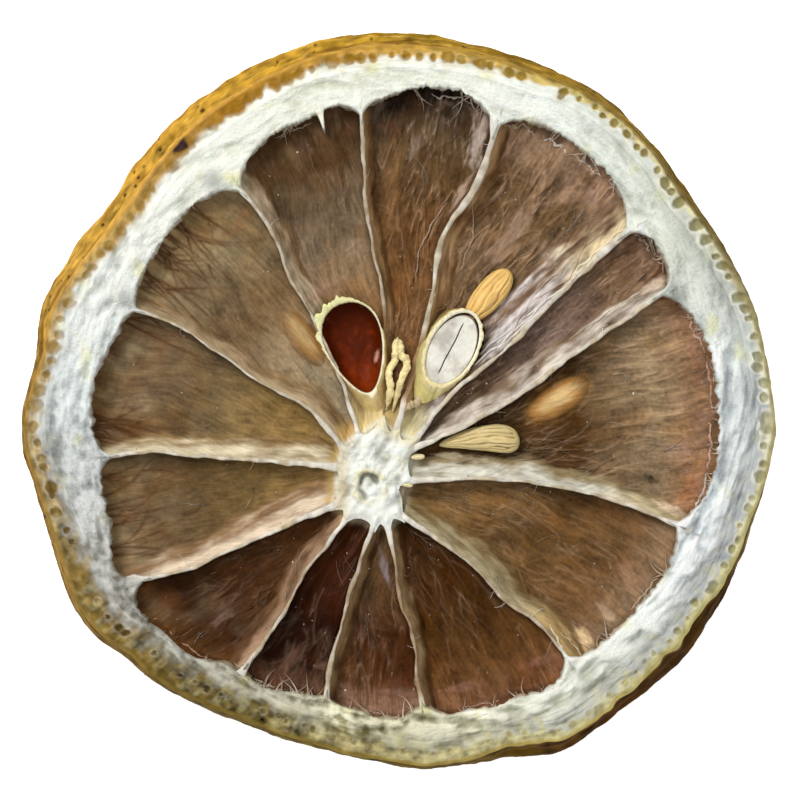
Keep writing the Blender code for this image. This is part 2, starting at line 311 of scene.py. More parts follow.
# The cut rind at every thirty degrees: its line of skin, its ground and its glands.
SKIN_LINE = paint(
    (164, 154, 104), (98, 82, 34), (124, 100, 40), (168, 130, 58),
    (190, 144, 66), (188, 144, 66), (142, 108, 44), (140, 112, 54),
    (118, 96, 38), (150, 126, 54), (190, 170, 98), (178, 166, 106),
)
ZEST_GROUND = paint(
    (208, 204, 180), (206, 200, 166), (192, 172, 104), (190, 148, 62),
    (148, 104, 30), (178, 146, 84), (172, 152, 112), (116, 94, 48),
    (94, 78, 36), (164, 154, 110), (182, 174, 130), (178, 172, 128),
)
GLAND_TONES = paint(
    (130, 128, 86), (120, 114, 70), (124, 104, 40), (146, 108, 28),
    (146, 106, 28), (140, 106, 34), (132, 102, 36), (70, 52, 18),
    (62, 48, 18), (102, 90, 40), (136, 126, 76), (120, 116, 70),
)
SCAR_PURPLE = paint(58, 42, 42)
# Painted shadows (lightness under 1) and lighter places on the pith: middle, size and lightness.
PITH_SHADOWS_AND_PALE_SPOTS = (
    (-14.4, 16.8, 0.9, 0.55), (-20.9, 7.7, 0.9, 0.55), (-4.8, -25.0, 1.3, 2.1), (5.5, -25.0, 1.3, 1.6),
    (22.5, -9.8, 1.0, 1.6), (23.6, -7.3, 1.1, 1.7), (25.2, 3.4, 1.2, 1.6), (18.9, 12.9, 0.9, 1.6),
)
CRUMB_TONE = paint(222, 214, 168)
# The tone of the painted shade in the low gaps between the crumbs.
CRUMB_GAP_SHADE = paint(96, 80, 34)
# By direction, in the pith: how much more painted shade it takes, how blurred that shade is and how strong.
PITH_DARKER = (0, 0, 0, 0, 0, 0, 0, 0.06, 0.18, 0.18, 0, 0)
SHADE_BLUR = (0.3, 0.3, 0.3, 0.3, 0.3, 0.3, 0.4, 0.8, 0.8, 0.5, 0.3, 0.3)
SHADE_STRENGTH = (0.9, 0.8, 0.6, 0.5, 0.6, 0.75, 0.9, 1, 1, 1, 0.85, 0.9)
# By direction, at the border of the cut rind: how rough it is, how far it scallops round the
# glands, how far it wanders and how soft it is.
BORDER_ROUGH = (0.35, 0.3, 0.3, 0.3, 0.35, 0.5, 0.7, 1.3, 1.3, 1.0, 0.6, 0.5)
BORDER_SCALLOP = (0.3, 0.3, 0.3, 0.25, 0.1, 0.12, 0.25, 0.3, 0.3, 0.3, 0.3, 0.3)
BORDER_WANDER = (0, 0, 0, 0.2, 0.9, 0.8, 0.4, 0, 0, 0, 0, 0)
BORDER_SOFT = (0, 0, 0, 0.1, 0.4, 0.5, 0.5, 0.6, 0.6, 0.5, 0.2, 0.1)
# By direction, in the cut rind: how uneven its ground is, how pale the glands' rims are, how clearly
# the glands show and how dark the painted shade in the gaps between the crumbs is.
GROUND_UNEVEN = (0.7, 0.7, 0.7, 0.7, 0.7, 0.8, 1, 1.6, 1.6, 1.2, 0.8, 0.7)
GLAND_RIMS = (1, 1, 0.8, 0.3, 0, 0, 0.5, 0.5, 0.5, 0.3, 0.4, 1)
GLANDS_SHOWN = (0.6, 0.8, 0.85, 0.8, 0.65, 0.6, 0.6, 0.9, 0.8, 0.4, 0.25, 0.35)
GAPS_SHOWN = (1, 1, 1, 1, 1, 1, 1, 1.6, 1.6, 0.8, 0.6, 0.8)


def cut_colour(x, y, hollow, reach, crumbs):
    """The colour of the cut face: a line of skin, then the cut rind with its glands, then the pith.
    The border between rind and pith is scalloped round the glands, and oil has tinted the pith."""
    angle, radius = np.arctan2(y, x), np.hypot(x, y)
    inside = top_radius(angle) - radius
    patch = cloud(x, y, 0.5, 61, 3)
    # Painted shade: the pith's hollows take the shaded tone, and its outer half is painted darker.
    outer_shade = around(angle, OUTER_SHADE) * ease(inside + patch, 2.8, 1.3)
    light = around(angle, PITH_LIGHT) * (1 - outer_shade)[..., None]
    shade = ease(hollow + around(angle, SHADE_BLUR) * patch + around(angle, PITH_DARKER), -0.25, 0.85)
    colour = mix(light, around(angle, PITH_DARK), shade * around(angle, SHADE_STRENGTH))
    yellow = ease(noise(0.5 * x, 0.5 * y, 0, 65), 0.15, 0.5)
    colour = mix(colour, colour * np.array((1.0, 0.97, 0.72)), yellow)
    # Painted shadow darkens two places by the membranes' ends, and six places are made lighter.
    for middle_x, middle_y, size, lightness in PITH_SHADOWS_AND_PALE_SPOTS:
        gap = np.hypot(x - middle_x, y - middle_y) / size + 0.5 * patch
        colour = colour * (1 + (lightness - 1) * np.exp(-(gap**2)))[..., None]
    colour = np.minimum(colour, 0.9)
    width = around(angle, ZEST_WIDTHS)
    ragged = inside + around(angle, BORDER_ROUGH) * rim_noise(angle, radius, 1.1, 0.6, 81, 3)
    ragged = ragged - around(angle, BORDER_SCALLOP) * np.clip(1.7 - reach, 0, 1)
    ragged = ragged + around(angle, BORDER_WANDER) * rim_noise(angle, radius, 0.3, 0.3, 83, 2)
    speckle = rim_noise(angle, radius, 1.2, 1.6, 91, 3)
    ground = around(angle, ZEST_GROUND) * (1 + around(angle, GROUND_UNEVEN) * speckle)[..., None]
    soft = around(angle, BORDER_SOFT)
    colour = mix(ground, colour, ease(ragged, (0.62 - 0.2 * soft) * width, (0.95 + 0.5 * soft) * width))
    rim = np.exp(-(((reach - 1.22) / 0.24) ** 2)) * ease(inside, 0.2, 0.5)
    pale = mix(ground, np.ones(3) * 0.85, 0.45)
    colour = mix(colour, pale, 0.7 * rim * around(angle, GLAND_RIMS))
    deep = around(angle, GLAND_TONES) * (0.95 + 0.5 * noise(2 * x, 2 * y, 0, 95))[..., None]
    colour = mix(colour, deep, around(angle, GLANDS_SHOWN) * ease(reach, 1.1, 0.75))
    colour = mix(colour, 0.6 * ground + 0.4 * CRUMB_TONE, 1.8 * np.clip(crumbs, 0, 0.4))
    # Painted shade in the gaps between the crumbs.
    gaps = np.clip(-crumbs - 0.08, 0, 0.3) * around(angle, GAPS_SHOWN)
    colour = mix(colour, CRUMB_GAP_SHADE, 1.3 * gaps)
    purple = SCAR_PURPLE * (1 + cloud(x, y, 3, 39, 2))[..., None]
    colour = mix(colour, purple, ease(scar_reach(x, y), 1.1, 0.8))
    line = ease(inside + 0.1 * speckle, 0.36 + 0.6 * near(angle, 19, 6), 0.12)
    return mix(colour, around(angle, SKIN_LINE) * (1 + 0.5 * speckle)[..., None], 0.9 * line)


# The skin on the flank at every thirty degrees: its own gold and olive, with painted light at the
# upper left, where the lamp falls, and painted shade at the lower right.
FLANK_LIGHT = paint(
    (158, 146, 96), (96, 76, 26), (126, 98, 32), (142, 110, 30),
    (174, 132, 44), (172, 132, 52), (130, 100, 42), (122, 96, 42),
    (92, 74, 28), (96, 80, 26), (72, 44, 10), (66, 44, 12),
)
PORE_BROWN = paint(40, 22, 12)
# A painted highlight on the skin, and by direction how strongly it shows, most at the upper left.
SKIN_HIGHLIGHT = paint(228, 182, 84)
GLINTS_SHOWN = (0, 0.1, 0.5, 1, 1, 1, 0.8, 0.4, 0.2, 0.1, 0, 0)
SKIN_FOLDS = (0.3, 0.3, 0.3, 0.3, 0.3, 0.3, 0.2, 0.1, 0.1, 0.2, 0.3, 0.3)


def make_pores():
    """Dark pores scattered over the skin, most of them at the upper left. A row gives each one's
    direction, height, and its half height and half width."""
    draw = np.random.default_rng(33)
    angle = np.radians(np.r_[draw.uniform(70, 205, 62), draw.uniform(0, 360, 40)])
    size = draw.uniform(0.08, 0.19, len(angle))
    return np.stack([angle, draw.uniform(2.4, 6.15, len(angle)), 1.3 * size, size], 1)


PORES = make_pores()


def slanted(angle, height):
    """The height on the flank, wandering slowly, so that what follows it isn't level."""
    return height + 1.2 * rim_noise(angle, height, 0.05, 0.1, 99, 2)


def flank_colour(angle, height):
    """The skin: streaks of gold and brown that follow the rim, painted highlights and dark pores."""
    slant = slanted(angle, height)
    streak = rim_noise(angle, slant, 0.28, 1.5, 101, 4)
    mottle = rim_noise(angle, height, 1.0, 1.2, 103, 3)
    colour = around(angle, FLANK_LIGHT) * (1 + 0.8 * streak + 0.9 * mottle)[..., None]
    # Painted highlights, strongest at the upper left.
    glint = ease(rim_noise(angle, slant, 0.6, 2.2, 105, 3), 0.12, 0.5)
    colour = mix(colour, SKIN_HIGHLIGHT, 0.5 * glint * around(angle, GLINTS_SHOWN))
    brown = ease(rim_noise(angle, slant, 0.3, 1.3, 108, 3), 0.08, 0.45)
    colour = mix(colour, around(angle, FLANK_LIGHT) * np.array((0.55, 0.42, 0.3)), 0.75 * brown)
    return mix(colour, PORE_BROWN, 0.9 * ease(spot_reach(PORES, angle, height), 1.15, 0.75))


def quads(rows, columns, wrap_rows=False, wrap_columns=False):
    """The corner numbers of a grid's faces, joined up where a direction wraps round."""
    row = np.arange(rows if wrap_rows else rows - 1)
    column = np.arange(columns if wrap_columns else columns - 1)
    row, column = np.meshgrid(row, column, indexing="ij")
    below, beside = (row + 1) % rows, (column + 1) % columns
    corners = [(row, column), (row, beside), (below, beside), (below, column)]
    return np.stack([one * columns + two for one, two in corners], -1).reshape(-1, 4)


def signed_volume(points, faces):
    """Six times the volume inside the faces: negative if they point inwards."""
    total = 0.0
    for i in range(1, faces.shape[1] - 1):
        first, second, third = (points[faces[:, corner]] for corner in (0, i, i + 1))
        total += np.einsum("ij,ij->i", first, np.cross(second, third)).sum()
    return total


def add_piece(name, points, faces, colours, material, slot, stands_for=(), flow=None):
    """Makes one piece from points in millimetres, with its faces out and a colour at each point. Its
    flow gives each point a place in a space where the grain of the piece is stretched even."""
    if sum(signed_volume(points, group) for group in faces) < 0:
        faces = [group[:, ::-1] for group in faces]
    mesh = bpy.data.meshes.new(name)
    mesh.from_pydata((points * MM).tolist(), [], [face for group in faces for face in group.tolist()])
    mesh.polygons.foreach_set("use_smooth", np.ones(len(mesh.polygons), bool))
    tint = mesh.color_attributes.new(name="tint", type="FLOAT_COLOR", domain="POINT")
    tint.data.foreach_set("color", np.c_[np.clip(colours, 0, 1), np.ones(len(points))].ravel())
    grain = mesh.attributes.new(name="flow", type="FLOAT_VECTOR", domain="POINT")
    grain.data.foreach_set("vector", (points if flow is None else flow).ravel())
    mesh.update()
    mesh.materials.append(material)
    piece = bpy.data.objects.new(name, mesh)
    bpy.context.scene.collection.objects.link(piece)
    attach(piece, "root")
    if stands_for:
        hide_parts(*stands_for)


def finish_of(name, roughness, swing, grain, depth, streak, streak_swing, specular=0.3, soft=0.0):
    """A material that takes its colour from the piece's tint. Streaks along the piece's flow darken
    and lighten it and are felt as bump, and a grain in object space roughens the highlights.
    Grain and streak give a noise scale, and depth gives the streaks' and the grain's bump in mm."""
    material = bpy.data.materials.new(name)
    material.use_nodes = True
    nodes, links = material.node_tree.nodes, material.node_tree.links
    shader = nodes["Principled BSDF"]
    tint = nodes.new("ShaderNodeAttribute")
    tint.attribute_name = "tint"
    flow = nodes.new("ShaderNodeAttribute")
    flow.attribute_name = "flow"

    def texture(vector, scale, detail):
        made = nodes.new("ShaderNodeTexNoise")
        made.inputs["Scale"].default_value = scale
        made.inputs["Detail"].default_value = detail
        made.inputs["Roughness"].default_value = 0.6
        links.new(vector, made.inputs["Vector"])
        return made.outputs["Fac"]

    def ranged(value, low, high, start=0.0, stop=1.0):
        made = nodes.new("ShaderNodeMapRange")
        for socket, number in (("From Min", start), ("From Max", stop), ("To Min", low), ("To Max", high)):
            made.inputs[socket].default_value = number
        links.new(value, made.inputs["Value"])
        return made.outputs["Result"]

    streaks = texture(flow.outputs["Vector"], streak, 5)
    grains = texture(nodes.new("ShaderNodeTexCoord").outputs["Object"], grain, 5)
    shade = nodes.new("ShaderNodeVectorMath")
    shade.operation = "SCALE"
    links.new(tint.outputs["Color"], shade.inputs[0])
    links.new(ranged(streaks, 1 - streak_swing, 1 + streak_swing, 0.3, 0.7), shade.inputs["Scale"])
    links.new(shade.outputs["Vector"], shader.inputs["Base Color"])
    links.new(ranged(grains, roughness - swing, roughness + swing, 0.3, 0.7), shader.inputs["Roughness"])
    normal = None
    for height, distance in ((streaks, depth[0]), (grains, depth[1])):
        bump = nodes.new("ShaderNodeBump")
        bump.inputs["Distance"].default_value = distance * MM
        links.new(height, bump.inputs["Height"])
        if normal:
            links.new(normal, bump.inputs["Normal"])
        normal = bump.outputs["Normal"]
    links.new(normal, shader.inputs["Normal"])
    shader.inputs["Specular IOR Level"].default_value = specular
    if soft:
        shader.inputs["Subsurface Weight"].default_value = soft
        shader.inputs["Subsurface Radius"].default_value = (1.0, 0.7, 0.45)
        shader.inputs["Subsurface Scale"].default_value = 0.5 * MM
    return material


def rim_flow(x, y, across):
    """The flow of a piece that follows the rim: its grain runs round the slice, and is finer across."""
    angle = np.arctan2(y, x)
    reach = GRAIN_RADIUS * 0.5
    return np.stack([reach * np.cos(angle), reach * np.sin(angle), 2.2 * across + 0 * angle], -1)


def add_ring(rings, x, y, height, colour, across):
    """Adds one ring of a piece that follows the rim: its points, its colours and its flow."""
    rings.append((np.stack([x, y, height], 1), colour, rim_flow(x, y, across)))


def add_ring_piece(name, rings, finish, slot, stands_for=()):
    """Makes a piece of rings, joined one to the next and the last to the first."""
    faces = quads(len(rings), len(rings[0][0]), True, True)
    points, tints, flows = (np.concatenate(one) for one in zip(*rings))
    add_piece(name, points, [faces], tints, finish, slot, stands_for, flows)


def make_rind():
    """A closed band round the slice. Each column is one profile: in along the cut face on top,
    down the flank to the underside's cut band, and back up behind the skin where nothing shows."""
    angle = np.arange(RIND_COLUMNS) * TURN / RIND_COLUMNS
    outline, top = outer_radius(angle), top_radius(angle)
    rim = rim_height(angle)
    band = around(angle, ZEST_WIDTHS) + BAND_EXTRA
    rings = []

    def add_cut(depths, underside):
        for depth in depths:
            radius = (outline - UNDER_LEAN if underside else top) - depth * band
            x, y = radius * np.cos(angle), radius * np.sin(angle)
            height, *looks = cut_surface(x, y)
            colour = cut_colour(x, y, *looks)
            sunk = 0.2 * ease(depth, JOIN, 1.0)
            if underside:
                height = CLEARANCE + 0.25 * np.clip(rim - height, 0, 0.6) + sunk
            add_ring(rings, x, y, height - (0 if underside else sunk), colour, radius)

    add_cut(np.r_[np.linspace(1.0, JOIN, 4), np.linspace(JOIN - 0.02, 0.0, 30)], False)
    belly = BELLY_HEIGHT / RIM_HEIGHT
    for share in np.linspace(0.03, 1.0, 34):
        level = 1 - share
        upper = ease(level, belly, 1.0) ** 1.2
        lower = np.clip(1 - level / belly, 0, 1) ** 2.2
        radius = outline - (outline - top) * upper - UNDER_LEAN * lower
        height = level * (rim - 0.3)
        wrinkle = rim_noise(angle, height, 0.5, 0.9, 121, 4)
        folds = around(angle, SKIN_FOLDS) * rim_noise(angle, slanted(angle, height), 0.25, 1.2, 125, 2)
        pits = ease(spot_reach(PORES, angle, height), 1.2, 0.5)
        shown = ease(level, 1.0, 0.9) * ease(level, 0.0, 0.08)
        radius = radius + shown * (0.2 * wrinkle + folds - 0.08 * pits)
        x, y = radius * np.cos(angle), radius * np.sin(angle)
        colour = mix(around(angle, SKIN_LINE), flank_colour(angle, height), ease(share, 0.02, 0.1))
        add_ring(rings, x, y, height + CLEARANCE, colour, height)
    add_cut(np.linspace(0.0, 1.0, 10)[1:], True)
    skin = finish_of("rind_skin", 0.6, 0.14, 4200, (0.06, 0.06), 1.6, 0.14, 0.01)
    add_ring_piece("rind_band", rings, skin, "rind")


make_rind()

# ---------------------------------------------------------------- Pith
# The pith is the spongy white layer under the rind, shrunk to chalky fibres that run round the
# slice. Thirteen rounded spaces are hollowed out of its inner edge, and its walls drop to the pulp.
# Each membrane: the direction and radius of its end at the pith, its end at the core, and how far
# it bows to its left at four places.
MEMBRANES = (
    (97.5, 23.0, (-1.35, -1.9), (-0.5, -0.7, 0.0, 0.1)),
    (71.0, 23.0, (-0.45, -2.9), (0.2, 0.4, 1.2, -0.1)),
    (36.6, 22.3, (1.0, -3.3), (0.6, 0.2, 0.2, 0.3)),
    (22.5, 22.5, (0.6, -3.9), (-0.7, -0.9, -0.5, -0.2)),
    (336.0, 24.0, (0.5, -6.2), (0.9, 1.4, 1.4, 0.9)),
    (303.0, 24.0, (-0.1, -8.7), (0.4, 0.6, 0.3, 0.6)),
    (274.3, 24.1, (-1.0, -9.5), (0.1, -0.1, 0.3, 0.1)),
    (256.2, 23.9, (-1.95, -9.3), (-0.2, -0.4, -0.4, -0.4)),
    (239.8, 24.3, (-4.0, -8.9), (-0.1, -0.2, 0.1, 0.1)),
    (214.2, 24.5, (-4.7, -8.0), (0.1, 0.3, 0.5, 0.6)),
    (190.9, 23.3, (-4.4, -5.2), (-0.2, -0.3, -0.4, -0.6)),
    (161.0, 22.1, (-4.2, -3.9), (-1.1, -0.8, -0.9, -0.9)),
    (127.3, 21.0, (-3.1, -3.1), (-0.7, -0.9, -0.7, -0.9)),
)
# How far each space's outer end bulges into the pith.
BULGES = (1.65, 1.8, 2.1, 0.8, 3.1, 1.3, 1.6, 0.9, 0.5, 1.4, 0.6, 1.6, 1.1)
COUNT = len(MEMBRANES)
# How far a space's rounded corners draw back, as a share of its length, and how square they are.
CORNER = 0.07
ROUND_TOP = 3.4
PITH_STEP = 0.115
# Over how many points to each side the columns' directions are evened out.
SPREAD = 34
PITH_FOOT = 0.9
WALL_TONE = paint(150, 122, 84)
# Where a short spur of pith juts into the first space, between the middle and its end at 1.
SPUR = 0.42


def facing(direction):
    """How far right and how far up a step of 1 goes, in a direction in degrees."""
    return math.cos(math.radians(direction)), math.sin(math.radians(direction))


def unit(vectors):
    """The vectors at a length of 1."""
    return vectors / np.linalg.norm(vectors, axis=-1, keepdims=True)


def spline(knots, place):
    """A smooth curve through the knots, at places counted in knots from the second one: it passes
    each knot along the line between its neighbours, as a Catmull-Rom curve does."""
    first = place.astype(int)
    t = (place - first).reshape(place.shape + (1,) * (knots.ndim - 1))
    a, b, c, d = (knots[first + i] for i in range(4))
    return b + 0.5 * t * (c - a + t * (2 * a - 5 * b + 4 * c - d + t * (3 * (b - c) + d - a)))


def membrane_line(index, share):
    """The membrane's line at shares of the way from core to pith: straight, with a smoothed bow."""
    angle, radius, core, bows = MEMBRANES[index % COUNT]
    start = np.array(core)
    end = radius * np.array(facing(angle))
    along = end - start
    length = np.linalg.norm(along)
    left = np.array((-along[1], along[0])) / length
    knots = np.array((-bows[0], 0.0, *bows, 0.0, -bows[-1]))
    bow = spline(knots, np.clip(share, 0, 0.9999) * 5)
    wobble = 0.2 * layers(share * length * 0.4, 3.7 * (index % COUNT), 0, 2, 3)
    bow = bow + wobble * ease(share, 0, 0.1) * ease(share, 1, 0.93)
    return start + share[..., None] * along + bow[..., None] * left


# Where the spaces reach further into the pith or stop short of it: direction, spread and reach.
WALL_DENTS = (
    (92, 5, -0.5), (108, 5, -0.4), (138, 9, 0.35), (168, 5, -0.6), (193, 6, 0.35), (213, 7, 1.4),
    (226, 7, 0.35), (236, 3, -0.5), (252, 5, -0.5), (262, 4, -0.5), (274, 3, -0.5), (283, 4, -0.5),
    (291, 3, -0.4), (302, 5, 0.6),
)


def space_points(index, share, across):
    """Points of a space: share runs from core to pith, across from one membrane's line to the next.
    The outer end bulges into the pith between its corners. Also gives half the space's width."""
    before, after = membrane_line(index - 1, share), membrane_line(index, share)
    middle, half = 0.5 * (before + after), 0.5 * (after - before)
    points = middle + across[..., None] * half
    bulge = BULGES[index] * (1 - np.abs(across) ** 2.6) * np.clip(share, 0, 1.2) ** 4
    angle = np.arctan2(points[..., 1], points[..., 0])
    near_end = np.clip(share, 0, 1.1) ** 12 * (1 - np.abs(across) ** 8)
    bulge = bulge + with_bumps(0.0, angle, WALL_DENTS) * near_end
    return points + bulge[..., None] * unit(points), np.linalg.norm(half, axis=-1)


def make_pith():
    """A closed ring. Each column is a profile: from the cut rind across the cut face, over a sharp
    lip, down the wall of its space, back under the lower face and up behind the rind."""
    edges = []
    for index in range(COUNT):
        half = space_points(index, np.ones(1), np.zeros(1))[1][0]
        across = np.linspace(-1, 1, int(2 * half * 1.12 / PITH_STEP), endpoint=False)
        share = 1 - CORNER * (1 - (1 - np.abs(across) ** ROUND_TOP) ** (1 / ROUND_TOP))
        ragged = 0.011 * layers(1.6 * across * half, 5.0 * index, 0, 4, 4)
        if index == 0:
            share = share - 0.06 * np.exp(-(((across - SPUR) / 0.03) ** 2))
        edges.append(space_points(index, share + ragged * (1 - across**4), across)[0])
    edge = np.concatenate(edges)
    turn = np.unwrap(np.arctan2(edge[:, 1], edge[:, 0]))
    hops = np.minimum(np.diff(turn, append=turn[0] - TURN), 0)
    wide = 2 * SPREAD + 1
    hops = np.convolve(np.r_[hops[-SPREAD:], hops, hops[:SPREAD]], np.ones(wide) / wide, "valid")
    turn = turn[0] + np.cumsum(hops) * TURN / -hops.sum()
    reach = top_radius(turn) - JOIN * (around(turn, ZEST_WIDTHS) + BAND_EXTRA)
    outside = np.stack([reach * np.cos(turn), reach * np.sin(turn)], 1)
    span = np.linalg.norm(outside - edge, axis=1)
    inward = (outside - edge) / span[:, None]
    rings = []
    for share in np.linspace(0, 1, 44) ** 0.9:
        plan = outside + share * (edge - outside)
        height, *looks = cut_surface(*plan.T)
        lip = 0.3 * rounded((1 - share) * span, 0.35)
        add_ring(rings, *plan.T, height - lip, cut_colour(*plan.T, *looks), np.hypot(*plan.T))
    top, lip_colour = rings[-1][0][:, 2], rings[-1][1]
    for share in np.linspace(0.08, 1, 13):
        shift = 0.15 * ease(share, 0, 0.6) + 0.3 * layers(edge[:, 0], edge[:, 1], 4 * share, 141, 2)
        plan = edge - shift[:, None] * inward * ease(share, 0, 0.3)
        colour = mix(lip_colour, WALL_TONE, 0.85 * ease(share, 0.0, 0.4))
        height = top + share * (PITH_FOOT - top)
        add_ring(rings, *plan.T, height, colour, GRAIN_RADIUS + 2 * share)
    for share in np.linspace(0, 1, 14) ** 0.9:
        plan = edge + share * (outside - edge)
        height, hollow, _, crumbs = cut_surface(*plan.T)
        lip = 0.45 * rounded(share * span, 0.7)
        relief = 0.4 * np.clip(rim_height(turn) - height, 0, 0.5) * (share < 1)
        no_gland = np.full(len(plan), 3.0)
        colour = cut_colour(*plan.T, hollow, no_gland, crumbs)
        add_ring(rings, *plan.T, CLEARANCE + lip + relief, colour, np.hypot(*plan.T))
    chalk = finish_of("pith_chalk", 0.85, 0.06, 4600, (0.07, 0.18), 1.9, 0.1, 0.1, 0.2)
    add_ring_piece("pith_ring", rings, chalk, "pith", ["peel_frame"])


make_pith()

# ---------------------------------------------------------------- Membranes
# A thin papery wall stands between each two spaces. The knife left its edge as a fine bright line,
# slightly frayed, which flares where it grows out of the pith and where it joins the core.
MEMBRANE_ROWS = 260
MEMBRANE_TOP = 5.45
MEMBRANE_BOTTOM = 0.45
# The half width of each bright edge at the core, in the middle and at the pith.
EDGE_WIDTHS = (
    (0.1, 0.09, 0.12), (0.2, 0.13, 0.22), (0.14, 0.1, 0.2), (0.16, 0.1, 0.12), (0.14, 0.09, 0.12),
    (0.13, 0.08, 0.1), (0.1, 0.1, 0.13), (0.11, 0.11, 0.13), (0.12, 0.08, 0.13), (0.18, 0.09, 0.1),
    (0.2, 0.09, 0.09), (0.14, 0.06, 0.09), (0.12, 0.08, 0.14),
)
EDGE_WHITE = paint(226, 220, 208)
EDGE_CREAM = paint(198, 184, 156)
WALL_BROWN = paint(112, 82, 52)
SLOPE_TAN = paint(158, 118, 70)
# How far each edge has turned brown in its middle.
EDGE_BROWNING = (0.5, 0.15, 0.05, 0.1, 0.1, 0.5, 0.75, 0.5, 0.35, 0.1, 0.1, 0.15, 0.4)
EDGE_BROWN = paint(138, 108, 76)


def along_three(values, share):
    """A value that goes smoothly from the first at the core, past the second, to the third."""
    return np.interp(share, (0.0, 0.45, 1.0), values)


# Beside the big seeds two of the edges sink into the seeds' own tissue: from and to which shares.
LOST_EDGES = {0: (-0.1, 0.37), 1: (0.12, 0.33)}


def lost(index, share):
    """How far the membrane's cut edge is lost in the tissue round the seeds, from 0 to 1."""
    first, last = LOST_EDGES.get(index % COUNT, (-1.0, -0.9))
    return ease(share, last, last - 0.06) * ease(share, first - 0.04, first + 0.02)


def crest_height(index, share):
    """The height of a membrane's cut edge: a little below the pith, uneven, and low at its ends."""
    rough = 0.16 * layers(7 * share, 2.3 * index, 0, 151, 3)
    rise = 0.42 * ease(share, 0.86, 0.99) - 0.9 * ease(share, 0.995, 1.05)
    sink = 0.15 * ease(share, 0.1, 0.03) + 0.7 * ease(share, 0.035, -0.02)
    return MEMBRANE_TOP + rough + rise - sink - lost(index, share)


def make_membranes():
    """Each wall is a closed tube with a flat tall section: points go up one side, over the edge
    and down the other, at each step of the way from the core to the pith."""
    share = np.linspace(-0.03, 1.05, MEMBRANE_ROWS)
    # One turn of the section: sideways place, and height as a share of the wall.
    side = np.array((-1, -1, -1, -1, -0.9, -0.5, 0.5, 0.9, 1, 1, 1, 1, 0.85, 0.3, -0.3, -0.85))
    level = np.array((0.03, 0.4, 0.8, 0.955, 0.985, 1, 1, 0.985, 0.955, 0.8, 0.4, 0.03, 0.01, 0, 0, 0.01))
    points, faces, tints, flows, start = [], [], [], [], 0
    for index in range(COUNT):
        line = membrane_line(index, share)
        ahead = unit(np.gradient(line, axis=0))
        left = np.stack([-ahead[:, 1], ahead[:, 0]], 1)
        place = share * np.linalg.norm(line[-1] - line[0])
        half = along_three(EDGE_WIDTHS[index], share)
        half = 1.35 * half * (1 + 0.8 * layers(0.4 * place, 4.1 * index, 0, 161, 3))
        half = np.clip(half, 0.035, 1) + 0.3 * np.exp(-np.maximum(place[-1] * 0.955 - place, 0) / 0.45)
        half = half + 0.2 * np.exp(-np.maximum(place, 0) / 0.6)
        top = crest_height(index, share)
        fray = 0.05 * layers(0.6 * place, 6.3 * index, 0, 171, 2)
        rings = np.zeros((len(share), len(side), 3))
        offset = side[None] * half[:, None] + fray[:, None] * (level[None] > 0.5)
        rings[..., :2] = line[:, None] + offset[..., None] * left[:, None]
        rings[..., 2] = MEMBRANE_BOTTOM + level[None] * (top - MEMBRANE_BOTTOM)[:, None]
        split = layers(1.6 * place[:, None], 2.5 * side[None] + 9 * index, 0, 181, 2)
        rings[..., 2] += 0.07 * split * (level[None] > 0.9)
        white = ease(layers(0.5 * place, index, 0, 191, 2), -0.25, 0.3) + ease(share, 0.85, 1.0)
        white = white + ease(share, 0.25, 0.02)
        colour = mix(EDGE_CREAM, EDGE_WHITE, white)
        colour = colour * (0.88 + 0.5 * layers(1.2 * place, 3.3 * index, 0, 195, 3))[:, None]
        browned = ease(share, 0.06, 0.25) * ease(share, 1.0, 0.86)
        browned = browned * (1 + layers(0.7 * place, 2.1 * index, 0, 197, 2))
        colour = mix(colour, EDGE_BROWN, EDGE_BROWNING[index] * browned)
        colour = mix(colour, SLOPE_TAN, 0.85 * lost(index, share))
        wall = ease(level, 0.95, 0.7)[None] * np.ones((len(share), 1))
        points.append(rings.reshape(-1, 3))
        tints.append(mix(colour[:, None], WALL_BROWN, wall).reshape(-1, 3))
        along = np.broadcast_to(place[:, None], rings.shape[:2])
        flow = np.stack([0.8 * along, 4 * side + 0 * along, 5 * level + 7 * index + 0 * along], -1)
        flows.append(flow.reshape(-1, 3))
        faces.append(start + quads(len(share), len(side), False, True))
        for row in (0, len(share) - 1):
            cap = start + row * len(side) + np.arange(len(side))
            cap = cap if row else cap[::-1]
            faces.append(np.stack([cap[:7], cap[1:8], cap[-2:-9:-1], cap[-1:-8:-1]], 1))
        start += len(share) * len(side)
    paper = finish_of("membrane_paper", 0.6, 0.1, 4200, (0.03, 0.03), 1.3, 0.12, 0.3, 0.2)
    points, tints, flows, faces = (np.concatenate(one) for one in (points, tints, flows, faces))
    add_piece("membrane_walls", points, [faces], tints, paper, "pith", (), flows)


make_membranes()

# ---------------------------------------------------------------- Core
# All the membranes meet in the core, a white spongy column. It dried into lumps with deep creases
# between them, and a ring of pale yellow crumbs lies round a hollow in its lower half.
CORE_MIDDLE = (-2.05, -5.75)
CORE_ROUND = 260
CORE_RINGS = 64
CORE_TOP = 5.42
CORE_SLACK = 0.2
# The ring of crumbs round the hollow: its middle and its half width and half height.
RING_MIDDLE = (-2.3, -6.65)
RING_REACH = (1.15, 1.3)
SPONGE_WHITE = paint(232, 234, 228)
SPONGE_SHADE = paint(122, 120, 104)
SPONGE_CRUMB = paint(222, 212, 166)
SEED_SIDE_GOLD = paint(214, 198, 138)
LEFT_SIDE_TAN = paint(196, 178, 136)


